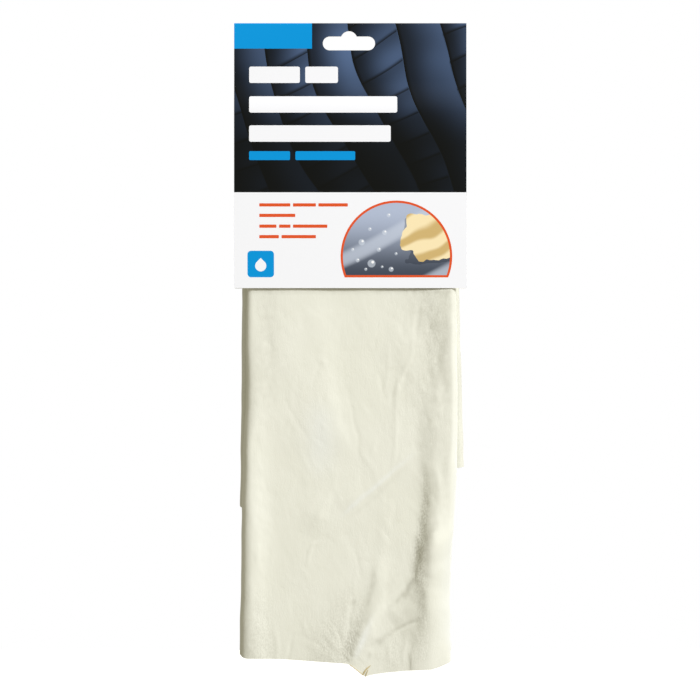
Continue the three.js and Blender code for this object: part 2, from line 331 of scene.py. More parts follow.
def board_profile(card):
    """Middle line of the board, from the front's lower edge over the crease to the back's."""
    half_board = card.board / 2
    neck = TAPE_HIGH.y + half_board
    front = panel_profile(card, -1, neck, -CARD_LOW.y - half_board)
    back = panel_profile(card, 1, neck, CARD_HIGH.y - half_board)
    crease_centre = CARD_HIGH.z - half_board - neck
    crease = []
    for i in range(CREASE_STEPS + 1):
        angle = math.pi * (1 - i / CREASE_STEPS)
        crease.append((neck * math.cos(angle), crease_centre + neck * math.sin(angle)))
    return front[::-1] + crease + back


def slot_cutter(card):
    """Solid in the outline of the hang slot, long enough to pass both panels."""
    radius = card.slot_height / 2
    middle = -card.hump_rise - radius
    end = card.slot_length / 2 - radius
    shoulder = math.asin((card.hump_radius - card.hump_rise) / card.hump_radius)

    def arc(centre_x, centre_z, size, start, stop):
        angles = [start + (stop - start) * i / ARC_STEPS for i in range(ARC_STEPS + 1)]
        return [(centre_x + size * math.cos(a), centre_z + size * math.sin(a)) for a in angles]

    outline = arc(-end, middle, radius, 1.5 * math.pi, 0.5 * math.pi)
    outline += arc(0, -card.hump_radius, card.hump_radius, math.pi - shoulder, shoulder)
    outline += arc(end, middle, radius, 0.5 * math.pi, -0.5 * math.pi)
    reach = CARD_HIGH.y
    mesh = bpy.data.meshes.new("slot_cutter")
    mesh.from_pydata([(x, -reach, z) for x, z in outline], [], [list(range(len(outline)))])
    cutter = bpy.data.objects.new("slot_cutter", mesh)
    bpy.context.scene.collection.objects.link(cutter)
    make_active(cutter)
    bpy.ops.object.mode_set(mode="EDIT")
    bpy.ops.mesh.select_all(action="SELECT")
    bpy.ops.mesh.extrude_region_move(TRANSFORM_OT_translate={"value": (0, 2 * reach, 0)})
    bpy.ops.object.mode_set(mode="OBJECT")
    face_outwards()
    return cutter


# The print is laid out in millimetres across and down from the card's top left corner.
# Blocks and bars in printing order: ink, corner radius, and each one's left, top, width and height
PRINTED_BOXES = (
    ("sky_blue", 0.1, ((-2, -2, 49.6, 17.6),)),
    ("paper", 1.2, ((9.2, 26.6, 31, 10), (43.5, 26.6, 20, 10), (9.2, 44.8, 90.5, 10), (9.2, 62.6, 86.5, 10))),
    ("sky_blue", 0.8, ((9.2, 78.4, 25, 5.4), (37.5, 78.4, 36.5, 5.4))),
    ("orange", 0.4, (
        (15.4, 110.2, 19, 2), (36, 110.2, 14, 2), (51.5, 110.2, 18, 2), (15.4, 116.6, 22, 2),
        (15.4, 123.2, 10.5, 2), (27.5, 123.2, 7, 2), (36, 123.2, 21, 2), (15.4, 129.6, 12, 2),
        (29, 129.6, 21, 2))),
    ("sky_blue", 2.2, ((8.2, 139.2, 16.2, 16.2),)),
)
INK_EDGE = 0.05

# The dark field: the lean of its ribs in degrees, their sway in metres, and where its sheen starts and fades
RIB_LEAN, RIB_SWAY = 24, (0.05, 0, 0.03)
SHEEN_TOP, SHEEN_FOOT, SHEEN_SIDE = 3, 77, 70

# The drop on the badge
DROP_CENTRE, DROP_RADIUS, DROP_TIP_RADIUS = (16.3, 148.4), 3.4, 0.2

# The round picture in its ring, which is cut flat at its foot
RING_CENTRE, RING_RADIUS, RING_WIDTH, RING_FOOT = (99.2, 142.65), 34.1, 1.4, 155.5
PANEL_DARK, PANEL_PALE, PANEL_GLOSS = linear(66, 74, 88), linear(176, 188, 212), linear(196, 206, 224)
PANEL_PALE_RISE, PANEL_DARK_DROP = 30, 12

# Beads of water, each with its place and radius, and the shares of its radius that place and size its shine
BEADS = (
    (72.5, 138.5, 1.0), (75.5, 145, 1.2), (78, 134, 1.9), (80.5, 150.5, 0.9), (84, 147, 2.4),
    (83, 126, 1.1), (88.5, 138.5, 1.3), (92, 128, 1.5), (90.5, 149, 0.8), (96, 150.5, 1.5),
    (94.5, 117.5, 1.2), (99, 141, 0.9),
)
BEAD_EDGE, SHINE_EDGE = 0.25, 0.2
SHINE_RIGHT, SHINE_UP, SHINE_RADIUS = 0.3, 0.35, 0.35
BEAD_INK, SHINE_INK = linear(206, 216, 230), linear(250, 252, 255)

# The cloth and the shade under it, as boxes with their corner radii, and a disc at the cloth's corner
CLOTH_BOXES, CLOTH_DISC = ((103, 116, 44, 20, 7), (108, 126, 40, 19, 6)), (107, 133, 7)
SHADE_BOXES = ((101, 119, 44, 20, 7), (106, 130, 40, 18, 6))
CLOTH_DARK, CLOTH_PALE, SHADE_INK = linear(206, 178, 118), linear(245, 228, 184), linear(40, 46, 58)
CLOTH_RIPPLE = 22


class PrintLayout:
    """Draws plain shapes on the card's front."""

    def __init__(self, shader, point):
        self.shader = shader
        self.point = point

    def height(self):
        """Height on the card in metres."""
        return self.shader.node("ShaderNodeSeparateXYZ", {0: self.point}).outputs["Z"]

    def counted_from(self, across, down):
        """Coordinates counted from a place on the card."""
        return self.shader.vector(
            "SUBTRACT", self.point, (CARD_LOW.x + across * MM, 0, CARD_HIGH.z - down * MM))

    def within(self, vector, radius, edge):
        """Coverage of what lies within a radius, over a soft edge."""
        length = self.shader.vector("LENGTH", vector)
        return self.shader.ramp(length, (radius + edge) * MM, (radius - edge) * MM)

    def box(self, left, top, width, height, radius):
        """Coverage of a rectangle with round corners."""
        half_width, half_height = width / 2, height / 2
        away = self.shader.vector("ABSOLUTE", self.counted_from(left + half_width, top + half_height))
        inner = ((half_width - radius) * MM, 0, (half_height - radius) * MM)
        past = self.shader.vector("MAXIMUM", self.shader.vector("SUBTRACT", away, inner), (0, 0, 0))
        return self.within(past, radius, INK_EDGE)

    def disc(self, across, down, radius, edge=INK_EDGE):
        """Coverage of a round shape."""
        return self.within(self.counted_from(across, down), radius, edge)

    def cut_disc(self, centre, radius, foot):
        """Coverage of a round shape above a level line."""
        above = self.shader.ramp(
            self.height(), CARD_HIGH.z - (foot + INK_EDGE) * MM, CARD_HIGH.z - (foot - INK_EDGE) * MM)
        return self.shader.product(self.disc(*centre, radius), above)

    def union(self, shapes):
        """Coverage of several shapes together."""
        total, *others = shapes
        for shape in others:
            total = self.shader.math("MAXIMUM", total, shape)
        return total


def across_and_up(shader, value):
    """Vector with one value across and up."""
    return shader.node("ShaderNodeCombineXYZ", {0: value, 2: value}).outputs[0]


def ribbed_field(shader, card, point, turned):
    """Dark ink with bent ribs and cross grooves that catch a blue sheen towards the top."""
    sway = shader.noise(point, 9.0, 1.0, 0.4)
    bent = shader.vector("ADD", turned, shader.vector("MULTIPLY", across_and_up(shader, sway), RIB_SWAY))
    ribs = shader.waves(bent, "X", 13.0, 2.2, 0.0, 0.25, "SAW")
    rib_light = shader.product(shader.ramp(ribs, 0.05, 1.0, 0.1, 1.0), shader.ramp(ribs, 0.0, 0.1))
    cross = shader.waves(bent, "Z", 21.0, 3.5, 0.0, 0.3, "SAW")
    cross_light = shader.product(
        shader.ramp(cross, 0.0, 0.16, 0.12, 1.0), shader.ramp(cross, 1.0, 0.2, 0.55, 1.0))
    crossed = shader.ramp(shader.waves(bent, "X", 6.5, 2.2, 0.0, 0.25, "SAW"), 0.49, 0.51)
    groove_dark = shader.product(shader.math("SUBTRACT", cross_light, 1.0), crossed)
    groove_light = shader.math("ADD", groove_dark, 1.0)
    cloud = shader.ramp(shader.noise(point, 11.0), 0.36, 0.62, 0.35, 1.0)
    place = shader.node("ShaderNodeSeparateXYZ", {0: point}).outputs
    top_light = shader.ramp(
        place["Z"], CARD_HIGH.z - SHEEN_FOOT * MM, CARD_HIGH.z - SHEEN_TOP * MM, 0.05, 1.0)
    side_light = shader.ramp(place["X"], CARD_LOW.x, CARD_LOW.x + SHEEN_SIDE * MM, 0.5, 1.0)
    sheen = shader.product(rib_light, top_light, cloud, groove_light, side_light)
    return shader.mix(sheen, tuple(card.night), tuple(card.steel_blue))


def badge_drop(shader, layout):
    """Coverage of a drop: a disc with one corner of a square that points up."""
    across, down = DROP_CENTRE
    moved = shader.mapped(
        layout.point, Location=(-(CARD_LOW.x + across * MM), 0, -(CARD_HIGH.z - down * MM)))
    turned = PrintLayout(shader, shader.mapped(moved, Rotation=(0, math.radians(45), 0)))
    square = turned.box(
        -CARD_LOW.x / MM, CARD_HIGH.z / MM - DROP_RADIUS, DROP_RADIUS, DROP_RADIUS, DROP_TIP_RADIUS)
    return layout.union([layout.disc(across, down, DROP_RADIUS), square])


def round_picture(shader, layout, turned):
    """Ink of the round picture: a yellow cloth that wipes a wet grey panel."""
    middle = RING_CENTRE[1]
    paling = shader.ramp(
        layout.height(), CARD_HIGH.z - (middle + PANEL_DARK_DROP) * MM,
        CARD_HIGH.z - (middle - PANEL_PALE_RISE) * MM)
    picture = shader.mix(paling, PANEL_DARK, PANEL_PALE)
    gloss = shader.ramp(shader.waves(turned, "Z", 9.0, 1.5), 0.75, 1.0, 0.0, 0.7)
    picture = shader.mix(gloss, picture, PANEL_GLOSS)
    beads = layout.union([layout.disc(*bead, BEAD_EDGE) for bead in BEADS])
    shine = layout.union([
        layout.disc(x + SHINE_RIGHT * size, z - SHINE_UP * size, SHINE_RADIUS * size, SHINE_EDGE)
        for x, z, size in BEADS])
    picture = shader.mix(shader.product(beads, 0.55), picture, BEAD_INK)
    picture = shader.mix(shine, picture, SHINE_INK)
    ripple = shader.math("SUBTRACT", shader.noise(layout.point, 75.0), 0.5)
    ripple = across_and_up(shader, shader.product(ripple, CLOTH_RIPPLE * MM))
    rippled = PrintLayout(shader, shader.vector("ADD", layout.point, ripple))
    folds = shader.waves(turned, "Z", 26.0, 9.0, 1.5, 0.8)
    cloth = shader.mix(shader.ramp(folds, 0.1, 0.7), CLOTH_DARK, CLOTH_PALE)
    cloth_shape = layout.union([*(rippled.box(*box) for box in CLOTH_BOXES), rippled.disc(*CLOTH_DISC)])
    shade = layout.union([rippled.box(*box) for box in SHADE_BOXES])
    picture = shader.mix(shader.product(shade, 0.45), picture, SHADE_INK)
    return shader.mix(cloth_shape, picture, cloth)


def printed_front(card):
    """Varnished front of the card: dark ribbed field, plain blocks and bars, and a round picture."""
    shader = Shader("printed_front")
    place = shader.place()
    layout = PrintLayout(shader, shader.vector("MULTIPLY", place, (1, 0, 1)))
    turned = shader.mapped(layout.point, Rotation=(0, math.radians(RIB_LEAN), 0))
    ink = ribbed_field(shader, card, layout.point, turned)
    split = CARD_HIGH.z - card.field_height
    below = shader.ramp(layout.height(), split + INK_EDGE * MM, split - INK_EDGE * MM)
    ink = shader.mix(below, ink, tuple(card.paper))
    for name, radius, boxes in PRINTED_BOXES:
        coverage = layout.union([layout.box(*box, radius) for box in boxes])
        ink = shader.mix(coverage, ink, tuple(getattr(card, name)))
    ink = shader.mix(badge_drop(shader, layout), ink, tuple(card.paper))
    ring = layout.cut_disc(RING_CENTRE, RING_RADIUS, RING_FOOT)
    ink = shader.mix(ring, ink, tuple(card.orange))
    inside_ring = layout.cut_disc(RING_CENTRE, RING_RADIUS - RING_WIDTH, RING_FOOT - RING_WIDTH)
    ink = shader.mix(inside_ring, ink, round_picture(shader, layout, turned))
    normal = shader.bump(shader.noise(place, 2600.0, 2.0, 0.6), 0.05, 0.02 * MM)
    return shader.set(Base_Color=ink, Roughness=0.4, Specular_IOR_Level=0.14, Normal=normal)


def plain_board():
    """Uncoated white of the card's inner and back faces, with fine fibre."""
    shader = Shader("plain_board")
    place = shader.place()
    fibre = shader.noise(place, 900.0, 4.0, 0.65)
    cloud = shader.noise(place, 35.0)
    tone = shader.math("ADD", shader.product(fibre, 0.5), shader.product(cloud, 0.5))
    white = shader.mix(shader.ramp(tone, 0.3, 0.7), linear(232, 231, 226), linear(243, 242, 239))
    return shader.set(Base_Color=white, Roughness=0.78, Normal=shader.bump(fibre, 0.25, 0.03 * MM))


def board_core():
    """Grey-white pulp that shows on the cut edges."""
    shader = Shader("board_core")
    pulp = shader.noise(shader.place(), 2400.0, 3.0, 0.6)
    grey = shader.mix(shader.ramp(pulp, 0.35, 0.65), linear(206, 203, 194), linear(228, 226, 219))
    return shader.set(Base_Color=grey, Roughness=0.9, Normal=shader.bump(pulp, 0.4, 0.04 * MM))


# The card's materials in their order on the mesh, and how a face across the board's thickness is told
PRINTED, PLAIN, CORE = 0, 1, 2
RIM_GAP, RIM_NORMAL, SIDE_NORMAL, FRONT_NORMAL = 0.1 * MM, 0.05, 0.5, -0.3

# The shortest step of the board's profile, and the distance at which its corners are merged
LEAST_STEP, MERGE_GAP = 1e-7, 0.001 * MM


class CHAMOIS_OT_header_card(bpy.types.Operator):
    """Builds the creased and printed card with its hang slot"""

    bl_idname = "chamois.header_card"
    bl_label = "Header Card"

    def execute(self, context):
        card = context.scene.chamois_card
        line = board_profile(card)
        deselect_all()
        width = CARD_HIGH.x - CARD_LOW.x
        centre_x = (CARD_HIGH.x + CARD_LOW.x) / 2
        (first_y, first_z), second_z = line[0], line[1][1]
        bpy.ops.mesh.primitive_plane_add(
            size=1, location=(centre_x, first_y, (first_z + second_z) / 2), rotation=(math.pi / 2, 0, 0))
        board = named("header_card_board")
        board.scale = (width, second_z - first_z, 1)
        settle(board)
        select_vertices(board, lambda co: co.z > (first_z + second_z) / 2)
        bpy.ops.mesh.select_mode(type="EDGE")
        for before, after in zip(line[1:], line[2:]):
            step = (0, after[0] - before[0], after[1] - before[1])
            if abs(step[1]) + abs(step[2]) > LEAST_STEP:
                bpy.ops.mesh.extrude_edges_move(TRANSFORM_OT_translate={"value": step})
        bpy.ops.mesh.select_all(action="SELECT")
        bpy.ops.mesh.remove_doubles(threshold=MERGE_GAP)
        bpy.ops.object.mode_set(mode="OBJECT")
        for material in (printed_front(card), plain_board(), board_core()):
            board.data.materials.append(material)
        apply_modifier(board, "SOLIDIFY", thickness=card.board, offset=0, use_even_offset=True)
        cutter = slot_cutter(card)
        apply_modifier(board, "BOOLEAN", operation="DIFFERENCE", object=cutter, solver="EXACT")
        bpy.data.objects.remove(cutter)
        self.paint(board, line)
        make_active(board)
        bpy.ops.object.shade_smooth_by_angle(angle=math.radians(BOARD_SMOOTH_ANGLE))
        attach(board, "card")
        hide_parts("header_card")
        return {"FINISHED"}

    def paint(self, board, line):
        """Prints the front's outer faces, and leaves core on edges and plain board elsewhere."""
        profile = np.array(line)
        for face in board.data.polygons:
            centre, normal = face.center, face.normal
            behind_the_other = profile[:, 0] * centre.y < 0
            nearest = profile[np.argmin(np.abs(profile[:, 1] - centre.z) + FAR * behind_the_other)][0]
            on_rim = abs(centre.y - nearest) < RIM_GAP and abs(normal.y) < RIM_NORMAL
            if abs(normal.x) > SIDE_NORMAL or on_rim:
                face.material_index = CORE
            elif normal.y < FRONT_NORMAL and centre.y < nearest < 0:
                face.material_index = PRINTED
            else:
                face.material_index = PLAIN


# Tape and staples


def tape_material():
    """Adhesive strip, a little yellowed."""
    shader = Shader("adhesive_tape")
    mottle = shader.noise(shader.place(), 260.0, 3.0, 0.6)
    film = shader.mix(shader.ramp(mottle, 0.35, 0.65), linear(226, 220, 200), linear(238, 234, 219))
    return shader.set(Base_Color=film, Roughness=0.45, Normal=shader.bump(mottle, 0.2, 0.05 * MM))


def wire_material():
    """Drawn and galvanised staple wire with fine lengthwise lines."""
    shader = Shader("staple_wire")
    lines = shader.noise(shader.mapped(shader.place(), Scale=(120, 4000, 4000)), 1.0)
    zinc = shader.mix(shader.ramp(lines, 0.3, 0.7), linear(176, 179, 183), linear(212, 214, 217))
    return shader.set(
        Base_Color=zinc, Metallic=1.0, Roughness=shader.ramp(lines, 0.2, 0.8, 0.24, 0.4),
        Normal=shader.bump(lines, 0.15, 0.01 * MM))


def refinish(node, material):
    """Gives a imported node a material, and leaves its mesh alone."""
    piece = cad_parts[node]
    if not piece.material_slots:
        piece.data.materials.append(material)
    for slot in piece.material_slots:
        slot.material = material


class CHAMOIS_OT_fastenings(bpy.types.Operator):
    """Finishes the adhesive strip and the two staples"""

    bl_idname = "chamois.fastenings"
    bl_label = "Tape and Staples"

    def execute(self, context):
        refinish("closure_tape", tape_material())
        wire = wire_material()
        for node in ("staple_left", "staple_right"):
            refinish(node, wire)
        return {"FINISHED"}


# Chamois skin

# Depth levels that the rolled skin passes through, from its hidden edge on the inside, and the air between
# the two bundles
ROLL_ORDER = (6, 0, 5, 1, 4, 2, 3)
BUNDLE_GAP = 1.2 * MM

# The hidden edge: how far across it reaches, how much it strays, and how it curls
WRAP_SHARE, WRAP_STRAY_SHARE, WRAP_STRAY_LENGTH = 0.28, 0.1, 26 * MM
WRAP_CURL, WRAP_CURL_REACH = 1.8 * MM, 9 * MM

# Grid: steps round a half turn, rows over the loop and inside the card, and rows below it in fine steps
BEND_STEP = 0.9 * MM
LOOP_ROWS, INSIDE_ROWS, ROW_STEPS = 9, 21, 1.08

# Edges of each bundle as shares of its width, at its top, half way down and at its foot
FRONT_EDGES = ((-0.481, -0.5, -0.514), (0.503, 0.509, 0.484))
REAR_EDGES = ((-0.489, -0.493, -0.498), (0.504, 0.515, 0.527))

# Each bundle's length below the card at its left corner and its width, and how its edges waver
FRONT_LENGTH, REAR_LENGTH = 226 * MM, 134.5 * MM
FRONT_WIDTH, REAR_WIDTH = 130 * MM, 134 * MM
EDGE_WOBBLE, WOBBLE_LENGTH, WOBBLE_START_SHARE = 0.3 * MM, 14 * MM, 0.1

# How far the front bundle's edges are drawn in, and the middle and reach of that as shares of its length
LEFT_DRAWN_IN, RIGHT_DRAWN_IN = 1.0 * MM, 2.4 * MM
LEFT_DRAWN_SHARES, RIGHT_DRAWN_SHARES = (0.28, 0.12), (0.76, 0.17)

# Hems: drops below the left corner as shares of the tip's, and how the inner layers and the rear bundle end
HEM_TIP_DROP, HEM_EASE, INNER_LIFT, OUTER_DEPTH = 11.4 * MM, 0.004, 2.4 * MM, 1 * MM
HEM_SHARES = (
    (0, -0.13), (0.03, 0.03), (0.2, 0.06), (0.37, 0.2), (0.51, 0.31), (0.54, 0.54),
    (0.594, 1), (0.625, 0.9), (0.68, 0.8), (0.79, 0.68), (0.906, 0.62), (0.943, 0.49), (1, 0.22),
)
REAR_SLANT, REAR_CORNER = 25 * MM, 1.2 * MM

# The card's hold, which presses the bundles together above its lower edge, and the bend below it
HELD_ABOVE, HELD_SHARE, HELD_DEPTH = 90 * MM, 0.14, 0.05 * MM

# Shares of the way down inside the card at which the hold and the relief start, and past which a tail hangs,
# and the angle in degrees under which the skin's faces shade smoothly
HOLD_START, RELIEF_START, TAIL_START = 0.7, 0.75, 0.99
SKIN_SMOOTH_ANGLE = 60


def smooth(value, low, high):
    """Smooth step from 0 at low to 1 at high."""
    share = np.clip((value - low) / (high - low), 0, 1)
    return share * share * (3 - 2 * share)


def bump_at(value, middle, reach):
    """Round bump of height 1 at a middle, which fades over a reach to both sides."""
    return np.exp(-(((value - middle) / reach) ** 2))


def three_point(shares, down):
    """Smooth value through three shares: at the top, half way down and at the foot."""
    top, middle, foot = shares
    return top * (1 - down) * (1 - 2 * down) + middle * 4 * down * (1 - down) + foot * down * (2 * down - 1)


# Bumps after which the noise repeats, how far off its table's corner it is read, and its row for an edge
NOISE_SIZE, NOISE_SHIFT, NOISE_ROW = 64, 300, 0.3


def soft_noise(across, along, seed):
    """Smooth random height between about -1 and 1, one bump to a unit, the same on every run."""
    angles = np.random.RandomState(seed).uniform(0, 2 * np.pi, (NOISE_SIZE, NOISE_SIZE))
    column, row = np.floor(across).astype(int), np.floor(along).astype(int)
    right, up = across - column, along - row
    ease_right, ease_up = smooth(right, 0, 1), smooth(up, 0, 1)

    def corner(dx, dy):
        angle = angles[(row + dy) % NOISE_SIZE, (column + dx) % NOISE_SIZE]
        return np.cos(angle) * (right - dx) + np.sin(angle) * (up - dy)

    lower = corner(0, 0) * (1 - ease_right) + corner(1, 0) * ease_right
    upper = corner(0, 1) * (1 - ease_right) + corner(1, 1) * ease_right
    return 1.5 * (lower * (1 - ease_up) + upper * ease_up)


def turned_noise(x, z, degrees, width, length, seed):
    """Smooth random height of leaning bumps, with their width and length in millimetres."""
    turn = math.radians(degrees)
    across = (x * math.cos(turn) + z * math.sin(turn)) / (width * MM)
    along = (z * math.cos(turn) - x * math.sin(turn)) / (length * MM)
    return soft_noise(across + NOISE_SHIFT, along + NOISE_SHIFT, seed)


def wavering(down, length, seed):
    """Smooth random value down a bundle, in waves of a length."""
    return soft_noise(down / length, NOISE_ROW + 0 * down, seed)


class Roll:
    """Columns across the rolled skin, as shares of the bundle's two edges with an offset and a depth."""

    def __init__(self, leather, width, seen_behind):
        self.half_skin = leather.thickness / 2
        self.pitch = leather.thickness + leather.layer_gap
        self.depth = max(ROLL_ORDER) * self.pitch + leather.thickness
        self.fine = leather.fine_step
        self.coarse = leather.coarse_step
        self.behind = leather.behind_step if seen_behind else leather.coarse_step
        self.left_offset = self.half_skin + (ROLL_ORDER[0] + ROLL_ORDER[1]) / 2 * self.pitch
        self.right_offset = self.half_skin + (ROLL_ORDER[1] + ROLL_ORDER[2]) / 2 * self.pitch
        self.run = width - self.left_offset - self.right_offset
        self.columns = []
        self.add_run(ROLL_ORDER[0], WRAP_SHARE, 0)
        for turn, (start, stop) in enumerate(zip(ROLL_ORDER, ROLL_ORDER[1:])):
            here, there = (0, 1) if turn % 2 == 0 else (1, 0)
            self.add_bend(start, stop, here)
            self.add_run(stop, here, there)
        self.share, self.offset, self.inward, self.shown, self.face = np.array(self.columns).T
        steps = np.hypot(np.diff(self.share * width + self.offset), np.diff(self.inward))
        self.path = np.concatenate([[0], np.cumsum(steps)])

    def add_run(self, level, start, stop):
        """Straight stretch of skin at one level, fine where it shows."""
        shown = level == 0
        hidden_step = self.behind if level >= max(ROLL_ORDER) - 1 else self.coarse
        count = max(3, round(abs(stop - start) * self.run / (self.fine if shown else hidden_step)))
        shares = np.linspace(start, stop, count + 1)[:-1]
        for share in shares[1:] if self.columns else shares:
            offset = (1 - share) * self.left_offset - share * self.right_offset
            self.columns.append((share, offset, self.half_skin + level * self.pitch, shown, shown))

    def add_bend(self, start, stop, share):
        """Half turn from one level to another at the left edge, of share 0, or at the right one."""
        radius = abs(stop - start) / 2 * self.pitch
        middle = self.half_skin + (start + stop) / 2 * self.pitch
        count = max(4, round(math.pi * radius / BEND_STEP))
        shown = 0 in (start, stop)
        for angle in np.linspace(0, math.pi, count + 1):
            inward = middle + math.copysign(radius, start - stop) * math.cos(angle)
            out = radius * math.sin(angle)
            offset = out - self.right_offset if share else self.left_offset - out
            in_front = angle <= math.pi / 2 if start == 0 else angle >= math.pi / 2
            self.columns.append((share, offset, inward, shown, shown and in_front))


def bundle_rows(leather, length):
    """Rows down one half of the skin: turn over the loop, way down inside the card, way down below it."""
    over = [(angle, 0, 0) for angle in np.linspace(0.5, 1, LOOP_ROWS)]
    inside = [(1, share, 0) for share in np.linspace(0, 1, INSIDE_ROWS + 1)[1:]]
    count = round(length / (leather.fine_step * ROW_STEPS))
    below = [(1, 1, share) for share in np.linspace(0, 1, count + 1)[1:]]
    return np.array(over + inside + below)


def hem_drop(share):
    """Drop of the front layer's hem below the left corner, its bends eased over a little width."""
    across, drops = zip(*HEM_SHARES)
    eased = [np.interp(share + step, across, drops) for step in np.linspace(-HEM_EASE, HEM_EASE, 5)]
    return HEM_TIP_DROP * np.mean(eased, axis=0)


def front_foot(share, roll):
    """How far each column's hem lies below the front bundle's left corner."""
    straight = hem_drop(0) + (hem_drop(1) - hem_drop(0)) * share
    inner = straight - INNER_LIFT * smooth(roll.inward, 0, roll.depth)
    outer = (roll.shown > 0) & (roll.inward < OUTER_DEPTH)
    return np.where(outer, hem_drop(share), inner)


def rear_foot(share, _roll):
    """How far each column's hem lies below the rear bundle's left corner, alike in all its layers."""
    corner = REAR_CORNER * (1 - smooth(share, 0, REAR_CORNER / REAR_WIDTH))
    return -REAR_SLANT * share - corner


def rise(reach, *points):
    """Line that lifts what is to its right, over a reach in pixels."""
    return 1, reach, points


def fall(reach, *points):
    """Line that lifts what is to its left, over a reach in pixels."""
    return -1, reach, points


def ridge(*points):
    """Line that is lifted itself."""
    return 0, 0, points


